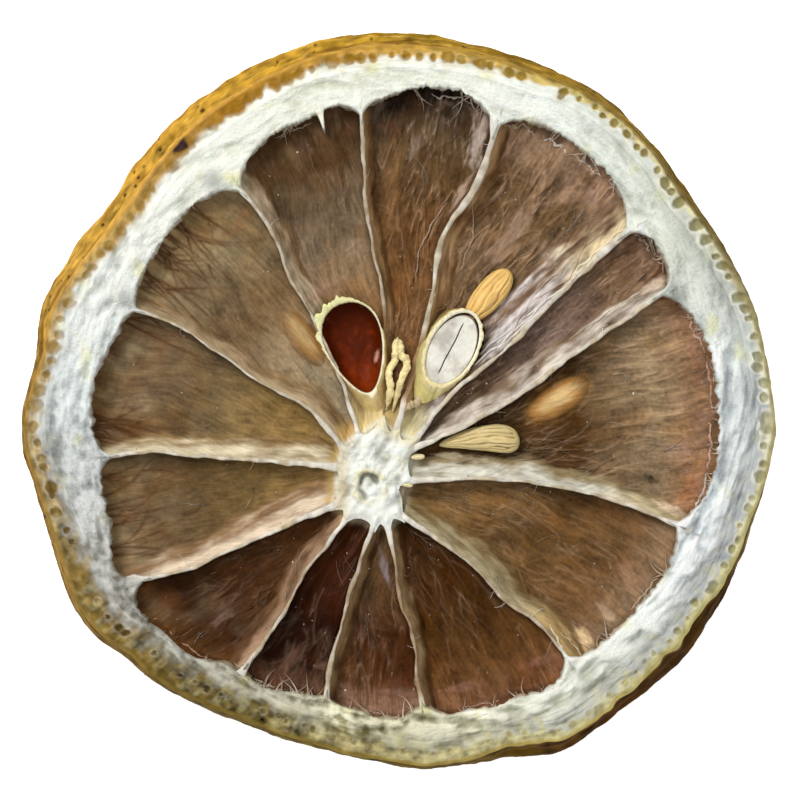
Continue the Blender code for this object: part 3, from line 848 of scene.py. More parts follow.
def core_reach(turn):
    """The core's outline: it runs through the inner end of each membrane, and dips in between."""
    ends = np.array([core for _, _, core, _ in MEMBRANES]) - CORE_MIDDLE
    angles, reaches = np.arctan2(ends[:, 1], ends[:, 0]) % TURN, np.hypot(*ends.T)
    order = np.argsort(angles)
    angles, reaches = angles[order], reaches[order]
    gaps = np.abs((turn[:, None] - angles[None] + math.pi) % TURN - math.pi).min(1)
    through = np.interp(turn % TURN, angles, reaches, period=TURN)
    flare = 1.15 * np.exp(-gaps * through / 0.32)
    dent = 0.6 * near(turn, 333, 13)
    return through + flare - dent - CORE_SLACK + 0.16 * noise(3 * np.cos(turn), 3 * np.sin(turn), 2.0, 203)


def make_core():
    """A closed lump on polar rings: its uneven top has soft slanting ridges, and its sides drop."""
    turn = np.arange(CORE_ROUND) * TURN / CORE_ROUND
    reach = core_reach(turn)
    rings, tints = [], []
    sides = np.r_[np.linspace(0.02, 1, CORE_RINGS), np.full(8, 1.0), np.linspace(1, 0.02, 16)]
    part = np.r_[np.ones(CORE_RINGS), np.linspace(0.85, 0.1, 8), np.zeros(16)]
    for radius, upper in zip(sides, part):
        x = CORE_MIDDLE[0] + radius * reach * np.cos(turn)
        y = CORE_MIDDLE[1] + radius * reach * np.sin(turn)
        across, along = 0.8 * x - 0.6 * y, 0.6 * x + 0.8 * y
        ridges = layers(0.9 * across, 0.3 * along, 0, 201, 2)
        lumps = cloud(x, y, 0.6, 211, 2)
        grain = cloud(x, y, 2.4, 215, 3)
        ring = np.hypot((x - RING_MIDDLE[0]) / RING_REACH[0], (y - RING_MIDDLE[1]) / RING_REACH[1])
        ring = ring + 0.4 * noise(x, y, 0, 217)
        bank = np.exp(-(((ring - 1) / 0.26) ** 2)) * (0.7 + 1.2 * cloud(x, y, 1.4, 218, 2))
        upper_left = ease(0.6 * (y - RING_MIDDLE[1]) - (x - RING_MIDDLE[0]), -1.2, 0.6)
        groove = np.exp(-(((ring - 0.68) / 0.17) ** 2)) * (0.35 + 0.65 * upper_left)
        groove = groove * (1 + 0.8 * cloud(x, y, 1.6, 219, 2))
        edge = ease(radius, 0.7, 1.0)
        quiet = ease(y, -8.6, -7.2)
        top = CORE_TOP + 0.44 * ridges + 0.28 * lumps + (0.14 * grain + 0.3 * bank - 0.4 * groove) * quiet
        top = top - 0.25 * edge**2
        height = np.where(upper >= 1, top, MEMBRANE_BOTTOM + upper * (top - MEMBRANE_BOTTOM))
        if upper == 0:
            height = MEMBRANE_BOTTOM + 0.3 * lumps + 0.2 * ridges
        rings.append(np.stack([x, y, height], 1))
        # Painted shade in the creases and the groove, deepest on the groove's upper left side, greys the
        # sponge.
        hollow = 0.8 * groove - 1.2 * ridges - 0.7 * lumps - 0.2 * grain * quiet
        colour = mix(SPONGE_WHITE, SPONGE_SHADE, ease(hollow, -0.1, 0.8) * (0.3 + 0.6 * quiet))
        crumbs = ease(bank + 0.3 * grain, 0.3, 0.8) + 0.5 * ease(cloud(x, y, 1, 221, 3), 0.15, 0.45)
        colour = mix(colour, SPONGE_CRUMB, 0.6 * crumbs * quiet)
        colour = mix(colour, SEED_SIDE_GOLD, 0.6 * ease(y + 0.5 * x, -3.9, -2.4))
        colour = mix(colour, LEFT_SIDE_TAN, 0.6 * ease(x, -3.5, -4.5))
        tints.append(mix(colour, WALL_BROWN, 0.6 * (upper < 0.8) * (upper > 0)))
    centres = np.array([(*CORE_MIDDLE, ring[:, 2].mean()) for ring in (rings[0], rings[-1])])
    points = np.concatenate(rings + [centres])
    tints = np.concatenate(tints + [tints[0][:1], tints[-1][:1]])
    fans = fan_ends(0, (len(rings) - 1) * CORE_ROUND, CORE_ROUND, len(rings) * CORE_ROUND)
    faces = [quads(len(rings), CORE_ROUND, False, True), fans]
    sponge = finish_of("core_sponge", 0.8, 0.08, 3600, (0.04, 0.1), 1.4, 0.06, 0.15, 0.2)
    add_piece("core_column", points, faces, tints, sponge, "pith")


def fan_ends(first, last, around_count, centre):
    """The triangles that close a tube of rings: from its first ring to the centre point, and from
    its last ring to the point after that."""
    here = np.arange(around_count)
    beside = (here + 1) % around_count
    opening = np.stack([np.full(around_count, centre), first + beside, first + here], 1)
    closing = np.stack([np.full(around_count, centre + 1), last + here, last + beside], 1)
    return np.concatenate([opening, closing])


make_core()

# ---------------------------------------------------------------- Pulp
# In each space the juice sacs dried to one brown film. It hangs between the walls like a hammock
# and climbs them, so one side of each membrane shows a pale slope and the other drops sharply.
FILM_STEP = 0.1
FILM_TOP = 3.6
FILM_BOTTOM = 2.5
# The pale slope beside each membrane: which side it is on (1 is its left, seen from the core), its
# width at the core, in the middle and at the pith, its colour at the crest and at the foot, and how
# rough it is.
# The whitish crest colours of the third, fourth and fifth slopes are partly painted sheen.
SLOPES = (
    (-1, (1.2, 1.0, 0.9), (166, 132, 90), (112, 80, 48), 0.6),
    (-1, (1.0, 1.7, 1.2), (170, 136, 98), (112, 78, 46), 0.9),
    (1, (3.2, 4.4, 2.8), (198, 190, 188), (126, 98, 74), 1.5),
    (1, (1.8, 2.0, 1.4), (204, 194, 182), (136, 112, 90), 1.3),
    (1, (2.0, 2.0, 1.3), (210, 208, 196), (150, 132, 96), 0.6),
    (1, (1.8, 2.4, 1.8), (168, 156, 124), (122, 98, 62), 0.4),
    (1, (1.0, 1.3, 1.1), (150, 124, 88), (84, 56, 30), 0.4),
    (1, (0.9, 1.2, 1.1), (146, 118, 82), (88, 58, 34), 0.4),
    (-1, (1.2, 1.7, 1.6), (158, 128, 102), (104, 74, 50), 0.7),
    (-1, (2.9, 2.5, 1.5), (212, 192, 168), (146, 114, 82), 0.6),
    (-1, (2.9, 2.2, 1.2), (212, 198, 168), (146, 118, 78), 0.5),
    (-1, (2.2, 1.5, 1.2), (180, 158, 126), (138, 110, 76), 0.4),
    (-1, (1.2, 1.8, 1.5), (182, 164, 138), (120, 92, 60), 0.6),
)
# Each film: its colour at four places from the core to the pith, how strongly dark veins run in
# from the pith, how strongly pale fibres show and how crumpled it is.
# At the pith the second film's colour is painted shadow of the pith's wall, and the last three are painted
# lighter there against that wall's shadow.
FILMS = (
    (((146, 106, 62), (127, 108, 86), (73, 54, 33), (88, 63, 37)), 0.4, 0.3, 0.3),
    (((125, 87, 50), (99, 67, 36), (86, 64, 39), (23, 15, 10)), 0.2, 0.7, 1.0),
    (((136, 107, 73), (117, 92, 66), (96, 71, 44), (144, 116, 92)), 0.1, 1.0, 1.0),
    (((91, 69, 52), (125, 104, 94), (112, 85, 59), (124, 95, 74)), 0.1, 0.9, 0.9),
    (((68, 47, 23), (73, 47, 18), (141, 119, 91), (142, 107, 77)), 0.05, 0.9, 0.5),
    (((114, 87, 53), (93, 65, 33), (108, 79, 49), (144, 116, 88)), 0.05, 0.7, 0.4),
    (((60, 34, 8), (70, 42, 11), (96, 63, 31), (116, 78, 51)), 0.05, 0.5, 0.4),
    (((100, 74, 48), (59, 29, 7), (80, 46, 20), (144, 110, 87)), 0.1, 0.6, 0.5),
    (((62, 28, 7), (40, 12, 0), (36, 13, 1), (96, 65, 45)), 0.0, 0.5, 0.3),
    (((73, 45, 22), (63, 36, 13), (54, 29, 10), (92, 59, 29)), 0.3, 0.4, 0.3),
    (((122, 97, 57), (95, 74, 45), (105, 86, 61), (132, 110, 78)), 0.8, 0.2, 0.2),
    (((141, 113, 67), (104, 86, 59), (110, 88, 63), (123, 100, 70)), 1.0, 0.2, 0.2),
    (((155, 138, 110), (114, 89, 60), (126, 110, 82), (160, 136, 98)), 1.0, 0.2, 0.2),
)
# The fibres on each film: how many, how long, how far from straight and between which shares.
FIBRES = (
    (36, (1.0, 3.0), 0.5, (0.1, 0.9)), (110, (1.5, 5.0), 0.22, (0.3, 0.97)),
    (170, (1.0, 4.5), 0.3, (0.25, 0.95)), (110, (1.0, 4.0), 0.3, (0.3, 0.95)),
    (190, (1.0, 4.0), 0.32, (0.2, 0.98)), (130, (1.0, 3.5), 0.35, (0.1, 0.98)),
    (80, (1.0, 4.0), 0.2, (0.2, 0.98)), (80, (1.0, 3.5), 0.3, (0.3, 0.98)),
    (70, (1.0, 3.5), 0.25, (0.3, 0.98)), (70, (1.0, 3.0), 0.25, (0.2, 0.98)),
    (30, (1.0, 3.0), 0.2, (0.2, 0.9)), (30, (1.0, 3.0), 0.2, (0.2, 0.9)),
    (30, (1.0, 3.0), 0.2, (0.2, 0.9)),
)
# Ragged patches on the films, of dry or stained tissue but one of painted shadow. Each row is the
# film's number from 0, the patch's middle, half length, half width, direction, colour and strength.
PATCHES = (
    (0, -6.2, 8.2, 2.4, 0.5, 35, (160, 126, 108), 0.5),
    (1, -0.6, 15.5, 4.5, 0.7, 88, (146, 108, 70), 0.4),
    (1, 1.2, 19.5, 1.6, 0.6, 70, (164, 140, 124), 0.4),
    (1, 6.0, 20.0, 2.6, 0.7, 78, (188, 170, 158), 0.85),
    (1, 4.7, 15.9, 2.0, 0.4, 62, (176, 152, 132), 0.7),
    (2, 8.5, 12.5, 4.0, 0.9, 55, (170, 142, 122), 0.4),
    (2, 12.5, 15.5, 2.5, 0.8, 20, (170, 138, 112), 0.4),
    # Painted shadow beside the cut kernel seed.
    (2, 5.2, 1.7, 4.2, 0.85, 42, (88, 70, 50), 0.95),
    (2, 10.2, 7.2, 2.0, 0.5, 42, (136, 120, 110), 0.4),
    (2, 14.1, 17.4, 1.6, 0.5, -50, (84, 58, 40), 0.6),
    (3, 12.5, 9.0, 4.5, 0.7, 40, (160, 138, 122), 0.4),
    (3, 21.4, 11.5, 1.4, 0.6, 60, (150, 96, 68), 0.6),
    (3, 19.6, 8.8, 1.8, 0.5, 33, (216, 196, 174), 0.85),
    (4, 22.4, -7.0, 1.9, 0.9, 60, (168, 110, 74), 0.6),
    (4, 21.6, -3.8, 1.6, 1.0, 20, (158, 126, 106), 0.6),
    (4, 22.6, 3.8, 3.6, 0.5, 100, (150, 106, 80), 0.5),
    (4, 15.5, 0.5, 3.0, 1.4, 10, (140, 116, 80), 0.3),
    (4, 21.0, -8.5, 2.0, 0.45, -24, (224, 198, 170), 0.8),
    (4, 4.0, -4.3, 1.7, 0.35, -2, (190, 176, 146), 0.7),
    (5, 17.6, -13.6, 1.8, 0.9, -50, (170, 130, 100), 0.6),
    (5, 16.0, -16.6, 1.6, 0.6, -45, (196, 170, 138), 0.6),
    (5, 14.3, -18.6, 1.7, 0.7, -50, (220, 192, 148), 0.85),
    (6, 11.2, -20.0, 2.2, 0.5, 20, (138, 98, 78), 0.6),
    (6, 4.8, -22.2, 2.2, 0.5, 12, (134, 94, 74), 0.6),
    (7, -0.4, -22.6, 1.8, 0.4, -5, (128, 90, 76), 0.6),
    (7, -1.2, -12.8, 1.9, 0.4, 107, (140, 128, 128), 0.7),
    (8, -8.2, -20.0, 1.8, 0.9, 60, (120, 88, 72), 0.4),
    (8, -5.4, -20.6, 1.4, 0.6, 0, (128, 98, 84), 0.4),
    (9, -13.6, -16.6, 1.6, 0.8, 60, (130, 102, 86), 0.4),
)
# Three slopes turn warmer towards the pith.
OUTER_TONES = {2: (206, 188, 152), 4: (208, 192, 154), 5: (192, 162, 110)}
# How far the pale tissue of the core reaches into each space, and its colour.
CUPS = (
    (5.2, (226, 204, 148)), (4.6, (216, 192, 132)), (4.6, (224, 212, 166)), (1.8, (186, 178, 156)),
    (1.2, (180, 174, 152)), (0.8, (150, 132, 104)), (0.9, (170, 158, 132)), (0.9, (150, 134, 110)),
    (0.8, (150, 130, 100)), (1.3, (170, 142, 92)), (1.8, (196, 166, 106)), (2.0, (202, 174, 114)),
    (2.6, (200, 166, 104)),
)
VEIN = paint(76, 44, 20)
RUST = paint(120, 72, 38)
OLIVE_GREY = paint(156, 138, 108)
PINK_GREY = paint(162, 132, 118)
# The pale of the fibres, which the wrinkles' crests also take as a painted highlight.
PALE_FIBRE_AND_HIGHLIGHT = paint(196, 168, 142)
CORE_PALE = paint(222, 220, 206)
SPECK_TONE = paint(214, 196, 170)
# The tissue that climbs the membranes and the core on the underside.
UNDER_SLOPE = paint(176, 152, 112)
UNDER_CUP = paint(202, 184, 140)
CUP_TOP = 5.1
# Two seeds lie under the film: centre, half length, half width, direction, lift and lightness.
SUNK_SEEDS = {4: ((12.1, 0.1), 2.8, 1.4, 31, 0.9, 1.0), 12: ((-7.3, 4.75), 2.6, 1.15, 127, 0.9, 0.7)}
# The painted highlight along a sunk seed's middle, and the seed's rust colour seen through the film.
SUNK_HIGHLIGHT = paint(222, 188, 130)
SUNK_RUST = paint(184, 134, 74)
# The film dips under the two cut seeds: each coat's middle, direction, half length, half width and
# taper.
SEED_WELLS = {0: ((-3.4, 3.99), 107, 3.65, 2.2, 0.34), 2: ((3.95, 3.88), 62, 3.34, 2.02, 0.12)}
WELL_FLOOR = 2.75
# Each finished film's points and colours, which the threads are laid on.
FILM_SURFACES = {}


def wander(draw, start, heading, length, steps, bend):
    """A path that curls steadily to one side, with a little chance in each step."""
    curl = draw.normal(0, 0.7 * bend)
    turns = heading + curl * np.arange(steps) + np.cumsum(draw.normal(0, 0.35 * bend, steps))
    hops = length / steps * np.stack([np.cos(turns), np.sin(turns)], 1)
    return np.concatenate([[start], start + np.cumsum(hops, 0)])


def set_out(index, across, share, onward):
    """A place in a space at a share of its length, and the direction from there to a share onward."""
    start, ahead = space_points(index, np.array([share, onward]), np.array([across, across]))[0]
    return start, math.atan2(*(ahead - start)[::-1])


def root_paths(index, count, lengths, spread, seed):
    """Paths that start at the pith and run towards the core like roots, most of them branching."""
    draw = np.random.default_rng(seed + index)
    paths = []
    middles = draw.uniform(-0.9, 0.9, 6)
    for across in np.clip(draw.choice(middles, count) + draw.normal(0, 0.09, count), -0.95, 0.95):
        start, heading = set_out(index, across, 1.0, 0.6)
        heading = heading + draw.normal(0, spread)
        path = wander(draw, start, heading, draw.uniform(*lengths), 12, 0.07)
        paths.append(path)
        if draw.uniform() < 0.6:
            fork = draw.integers(3, 8)
            aside = heading + draw.choice((-1, 1)) * draw.uniform(0.25, 0.7)
            paths.append(wander(draw, path[fork], aside, 0.5 * draw.uniform(*lengths), 8, 0.09))
    return paths


def fibre_paths(index, count, lengths, spread, shares, seed, bunch=6):
    """Bent fibres that lie on the film, most of them running out from the core, in loose bundles."""
    draw = np.random.default_rng(seed + index)
    paths = []
    while len(paths) < count:
        middle, centre = draw.uniform(*shares), draw.uniform(-0.9, 0.9)
        lean = draw.normal(0, spread)
        for _ in range(draw.integers(1, bunch)):
            share = np.clip(middle + draw.normal(0, 0.04), 0.02, 0.97)
            across = np.clip(centre + draw.normal(0, 0.08), -0.97, 0.97)
            start, heading = set_out(index, across, share, share + 0.05)
            heading = heading + lean + draw.normal(0, 0.35 * spread)
            length = draw.uniform(*lengths) * min(1, 2.5 * (1 - share) + 0.4)
            paths.append(wander(draw, start, heading, length, 9, 0.13))
    return paths[:count]


def turned(x, y, middle, direction):
    """Places as seen from a middle, looking in a direction: how far ahead and how far to the left."""
    c, s = facing(direction)
    right, up = x - middle[0], y - middle[1]
    return right * c + up * s, up * c - right * s


def blotch(x, y, spot):
    """A soft ragged patch: spot gives its middle, half length, half width and direction."""
    *middle, long, wide, direction = spot
    u, v = turned(x, y, middle, direction)
    ragged = layers(0.8 * u, 2.2 * v, 0, 333, 3)
    return ease(np.hypot(u / long, v / wide) + 0.8 * ragged, 1.1, 0.35)


def painted(x, y, paths, width):
    """How strongly each place is covered by the paths, which thin out towards their ends."""
    cover = np.zeros(x.shape)
    for path in paths:
        reach = 3 * width
        low, high = path.min(0) - reach, path.max(0) + reach
        some = np.nonzero((x > low[0]) & (x < high[0]) & (y > low[1]) & (y < high[1]))
        place = np.stack([x[some], y[some]], 1)
        best = np.zeros(len(place))
        for step, (a, b) in enumerate(zip(path, path[1:])):
            along = b - a
            t = np.clip((place - a) @ along / (along @ along), 0, 1)
            gap = np.linalg.norm(place - a - t[:, None] * along, axis=1)
            left = 1 - 0.75 * (step + t) / (len(path) - 1)
            best = np.maximum(best, left * np.exp(-((gap / (width * (0.5 + 0.5 * left))) ** 2)))
        cover[some] = np.maximum(cover[some], best)
    return cover


def tinge(film, tone, share):
    """Turns the film to a tone, by a share for each point."""
    film.colour = mix(film.colour, tone, share)


def raise_to(film, height):
    """Raises the film to a height where it is lower."""
    film.height = np.maximum(film.height, height)


def lay_film(index):
    """A film before anything shapes it: a grid of share by across, the noise that its looks come
    from, its gaps to the pith and the core in millimetres, and its own colour and height."""
    film = SimpleNamespace(index=index)
    ends, widths = space_points(index, np.array((0.0, 1.0)), np.zeros(2))
    out = np.linalg.norm(ends[1] - ends[0])
    rows = 3 * int(out * 1.04 / FILM_STEP / 3) + 1
    columns = 3 * int(2 * widths[1] / FILM_STEP / 3) + 1
    bend = np.linspace(-1, 1, columns)
    crossing = 0.6 * bend + 0.4 * np.sin(bend * math.pi / 2)
    share, across = np.meshgrid(np.linspace(-0.02, 1.03, rows), crossing, indexing="ij")
    plan, half = space_points(index, share, across)
    x, y = plan[..., 0], plan[..., 1]
    along, side = share * out, across * half
    drift = 0.9 * layers(0.16 * along, 0.22 * side, 2 * index, 271, 2)
    curved = side + drift
    clouds = layers(0.2 * along, 0.34 * side, index, 235, 3)
    fog = layers(0.8 * x, 0.8 * y, index, 237, 3)
    strands = layers(0.3 * along, 1.9 * curved, 3.1 * index, 251, 4)
    crisp = layers(0.6 * along + drift, 3.4 * curved, 3.1 * index, 257, 2) * ease(clouds, -0.5, 0.3)
    grit = layers(3.4 * x, 3.4 * y, index, 263, 2)
    tones, _, fibres, _ = FILMS[index]
    stops = np.array((0.3, 0.6, 0.85, 0.97))
    film.base = np.stack([np.interp(share, stops, one) for one in paint(*tones).T], -1)
    film.share, film.across, film.half, film.x, film.y = share, across, half, x, y
    film.along, film.drift, film.curved = along, drift, curved
    film.clouds, film.fog, film.strands, film.crisp, film.grit = clouds, fog, strands, crisp, grit
    film.fine = layers(0.9 * along, 5.5 * curved, 3.1 * index, 261, 2)
    film.outer_gap, film.inner_gap = np.maximum((1 - share) * out, 0), np.maximum(share * out, 0)
    film.level = FILM_TOP + 0.4 * clouds
    film.height = film.level + 0.05 * fog + 0.05 * strands + 0.04 * crisp + 0.02 * grit
    sharp = 1 + 0.8 * fibres
    shade = 1 + 0.45 * clouds + 0.4 * fog + sharp * (0.25 * strands + 0.34 * crisp + 0.28 * grit)
    film.colour = film.base * shade[..., None]
    red = ease(layers(0.26 * x, 0.26 * y, 3 * index, 239, 3), 0.0, 0.4)
    tinge(film, film.colour * np.array((1.08, 0.9, 0.66)), 0.6 * red)
    return film


def add_wrinkles(film):
    """Wrinkles that run out from the core, gathered in patches, with a painted highlight on each sharp
    crest and painted shade in the crevice beside it, and pale fibres in loose bundles."""
    index, along, drift, curved = film.index, film.along, film.drift, film.curved
    _, _, fibres, crumple = FILMS[index]
    gathered = ease(layers(0.3 * along, 0.45 * film.across * film.half, 1.9 * index, 273, 2), -0.1, 0.25)
    wrinkle = creases(0.26 * along + 0.5 * drift, 1.25 * curved, 1.3 * index, 275, 3) * gathered
    crest = creases(0.3 * along + 0.5 * drift, 1.9 * curved, 2.7 * index, 277, 12) * gathered
    crevice = creases(0.34 * along + 0.5 * drift, 1.6 * curved, 3.9 * index, 279, 8) * gathered
    count, lengths, spread, shares = FIBRES[index]
    bundles = fibre_paths(index, count, lengths, spread, shares, 541)
    bright = painted(film.x, film.y, bundles[::3], 0.075)
    faint = painted(film.x, film.y, bundles, 0.12)
    thread = 0.45 * PALE_FIBRE_AND_HIGHLIGHT + 1.4 * film.base
    # Painted shade in the crevices and a painted highlight on the crests.
    tinge(film, 0.4 * film.base, 0.6 * crumple * crevice)
    tinge(film, thread, 0.8 * crumple * crest)
    shown = (0.04 + 0.06 * fibres) * faint + (0.05 + 0.34 * fibres**2) * bright
    tinge(film, thread, shown)
    film.height = film.height + crumple * (0.33 * wrinkle + 0.15 * crest - 0.15 * crevice)
    film.height = film.height + 0.05 * faint + 0.07 * bright


def stain_outer_end(film):
    """What shows where a film nears the pith: dark veins like roots, and grey, rusty and pink tinges."""
    _, veins, fibres, crumple = FILMS[film.index]
    x, y = film.x, film.y
    roots = root_paths(film.index, int(3 + 23 * veins), (1.5, 9.0), 0.2, 501)
    thin, wide = painted(x, y, roots, 0.1), painted(x, y, roots, 0.34)
    near_pith = ease(film.outer_gap, 6.5, 1.0)
    grey = ease(noise(0.4 * x, 0.4 * y, 0, 281), -0.05, 0.3) * near_pith
    tinge(film, OLIVE_GREY * (1 + film.fog)[..., None], 0.5 * veins * grey)
    rusty = ease(noise(0.5 * x, 0.5 * y, 0, 285), 0.05, 0.4) * near_pith
    tinge(film, RUST, (0.2 + 0.15 * veins) * rusty)
    tinge(film, VEIN, min(veins, 0.9) * (0.85 * thin + 0.3 * wide))
    film.height = film.height - veins * (0.12 * thin + 0.06 * wide)
    pink = ease(cloud(x, y, 0.6, 289, 4), 0.0, 0.4) * ease(film.outer_gap, 3.4, 0.4)
    pink = pink * np.clip(fibres + crumple - 0.8, 0, 1)
    tinge(film, PINK_GREY, (0.35 if film.index == 1 else 0.65) * pink)


def add_gentle_slope(film, which, t, distance, top):
    """The film climbs a membrane in a broad pale slope, on three of them partly painted sheen, with folds,
    and pleats that hold painted shade: t is the share of the climb, from 0 at the slope's foot to 1 at
    its crest."""
    index, along, level = film.index, film.along, film.level
    _, _, crest_tone, foot, rough = SLOPES[which]
    folds = layers(0.2 * along + 0.5 * distance, 1.4 * distance, 5.0 * index, 311, 4)
    pleat = creases(0.13 * along + 0.3 * folds, distance, 3.0 * index, 315, 6)
    relief = (0.9 * folds + 0.5 * film.fog - 0.5 * pleat) * (0.5 + 0.5 * rough)
    raise_to(film, level + (top - level) * t**1.1 + t * (1 - t) * relief)
    patchy = layers(0.45 * along + 0.4 * distance, distance - 0.2 * along, 7.0 * index, 317, 4)
    crest = paint(*crest_tone)
    if which in OUTER_TONES:
        crest = mix(crest, paint(*OUTER_TONES[which]), ease(film.share, 0.62, 0.85))
    tone = mix(paint(*foot), crest, ease(t + (0.3 + 0.3 * rough) * (folds + patchy), 0.1, 1.0))
    dim = 1 + (0.1 + 0.25 * rough) * (folds + 0.8 * patchy) + 0.2 * film.crisp
    # Painted shade in the pleats, fading out towards the crest.
    dim = dim - 0.35 * rough * pleat * ease(t, 1.0, 0.75)
    tone = tone * np.clip(dim, 0.2, 2)[..., None]
    tinge(film, tone, ease(t + 0.3 * film.strands, 0.0, 0.35) * ease(t, 0, 0.06))


def add_slopes(film):
    """The film climbs both of its membranes: gently on the side that a slope faces, and steeply,
    with painted shade at its foot, on the other."""
    level = film.level
    for end, which in ((-1, (film.index - 1) % COUNT), (1, film.index)):
        pale_side, widths, *_ = SLOPES[which]
        gentle = pale_side == end
        width = along_three(widths, film.share) if gentle else np.full(film.share.shape, 0.32)
        row = which if end > 0 else film.index - 1
        width = width * (1 + 0.45 * layers(0.22 * film.along, 3.0 * row, 0, 231, 2))
        distance = (1 - end * film.across) * film.half
        t = np.clip(1 - distance / np.minimum(width, 1.5 * film.half + 0.2), 0, 1)
        top = crest_height(which, film.share) - 0.1
        if gentle:
            add_gentle_slope(film, which, t, distance, top)
            continue
        raise_to(film, level + (top - level) * t**1.1)
        raise_to(film, level + 0.35 * ease(distance, 1.5, 0.3))
        # Painted shade at the foot of the steep side.
        tinge(film, 0.5 * film.base, 0.6 * ease(distance, 0.6, 0.1))
        tinge(film, WALL_BROWN, 0.5 * ease(t, 0.7, 1.0))


def add_cup(film):
    """The core's pale tissue spreads into the space in a smooth bowl. The three widest bowls are
    painted darker away from the core, as shade.
    """
    reach, cup = CUPS[film.index]
    gap, level = film.inner_gap, film.level
    t = np.clip(1 - gap / reach, 0, 1)
    bowl = np.clip(1 - gap / (0.7 * reach), 0, 1) ** (1.8 if reach > 4 else 1.3)
    raise_to(film, level + (CUP_TOP - level) * bowl)
    film.height = film.height - 0.5 * ease(gap, 0.45, 0.0)
    tone = paint(*cup) * (1 + 0.25 * film.strands + 0.3 * film.fog + 0.1 * film.clouds)[..., None]
    # Painted shade: the three widest bowls are darker away from the core.
    tone = tone * (1 - 0.35 * ease(t, 0.95, 0.5) * (reach > 4))[..., None]
    film.cupped = ease(t + 0.3 * film.strands, 0.1, 0.7)
    tinge(film, tone, 0.95 * film.cupped)
    pale = (0.12 + 0.68 * (reach > 1.5)) * ease(gap + 0.4 * film.fog, 0.9, 0.3)
    tinge(film, CORE_PALE, pale)


def add_patches(film):
    """Ragged patches of dry tissue, a little raised."""
    for space, *spot, tone, strength in PATCHES:
        if space != film.index:
            continue
        cover = blotch(film.x, film.y, spot)
        shade = (1 + 0.5 * film.strands + 0.3 * film.grit)[..., None]
        tinge(film, paint(*tone) * shade, strength * cover)
        film.height = film.height + 0.12 * cover * (0.5 + film.strands)


def meet_pith(film):
    """The film climbs the wall of pith a little, with painted shadow along it, and is specked with
    pale crumbs.
    """
    x, y = film.x, film.y
    climb = np.clip(1 - film.outer_gap / 0.5, 0, 1)
    raise_to(film, film.level + climb**1.5)
    shadow = ease(film.outer_gap, 0.8, 0.25) * ease(noise(0.5 * x, 0.5 * y, 0, 291), -0.35, 0.1)
    tinge(film, 0.35 * film.base, (0.7 if 0 < film.index < 9 else 0.35) * shadow)
    specks = ease(noise(3.6 * x, 3.6 * y, 0, 321), 0.5, 0.58)
    tinge(film, SPECK_TONE, 0.5 * specks)


def add_sunk_seed(film):
    """A seed under the film lifts it in an oval mound, and its colour shows through, with a painted
    highlight along its middle.
    """
    middle, long, wide, direction, lift, lightness = SUNK_SEEDS[film.index]
    ahead, left = turned(film.x, film.y, middle, direction)
    u, v = ahead / long, left / wide
    mound = np.sqrt(np.clip(1 - np.hypot(u, v) ** 2, 0, 1))
    raise_to(film, film.level - 0.1 + lift * mound + 0.04 * film.strands)
    inside = ease(np.hypot(1.1 * (u - 0.05), 1.8 * v) + 0.6 * film.strands, 1.0, 0.2)
    # The seed's colour through the film, with a painted highlight along its middle.
    glow = mix(SUNK_RUST, SUNK_HIGHLIGHT, inside)
    glow = glow * lightness * (1 + 0.3 * film.strands + 0.2 * film.fine)[..., None]
    tinge(film, glow, 0.9 * ease(np.hypot(u, v) + 0.3 * film.fog, 1.25, 0.45))


def add_seed_well(film):
    """The film dips under a cut seed, and takes painted shade round its coat."""
    middle, direction, long, wide, taper = SEED_WELLS[film.index]
    ahead, left = turned(film.x, film.y, middle, direction)
    u = ahead / long
    gap = np.hypot(u, left / (wide * (1 + taper * np.clip(u, -1, 1))))
    film.height = film.height + ease(gap, 1.03, 0.95) * (WELL_FLOOR - film.height)
    # Painted shade round the coat.
    tinge(film, 0.4 * film.base, ease(gap, 1.3, 1.05) * 0.5 * (1 - film.cupped))


def underside_of(film):
    """The film's lower face, which hangs down along both membranes and the core: height and colour."""
    level = FILM_BOTTOM + 0.3 * film.clouds
    low = level - 0.1 * film.strands
    colour = film.base * (1 + 0.35 * film.strands + 0.2 * film.fine)[..., None]
    for end in (-1, 1):
        t = np.clip(1 - (1 - end * film.across) * film.half / 0.9, 0, 1)
        low = np.minimum(low, level + (MEMBRANE_BOTTOM + 0.1 - level) * t**1.3)
        colour = mix(colour, UNDER_SLOPE, ease(t, 0.2, 0.9))
    t = np.clip(1 - film.inner_gap / 1.3, 0, 1)
    low = np.minimum(low, level + (MEMBRANE_BOTTOM + 0.15 - level) * t**1.2)
    colour = mix(colour, UNDER_CUP, 0.8 * ease(t, 0.2, 0.9))
    return np.minimum(low, film.height - 0.15), colour


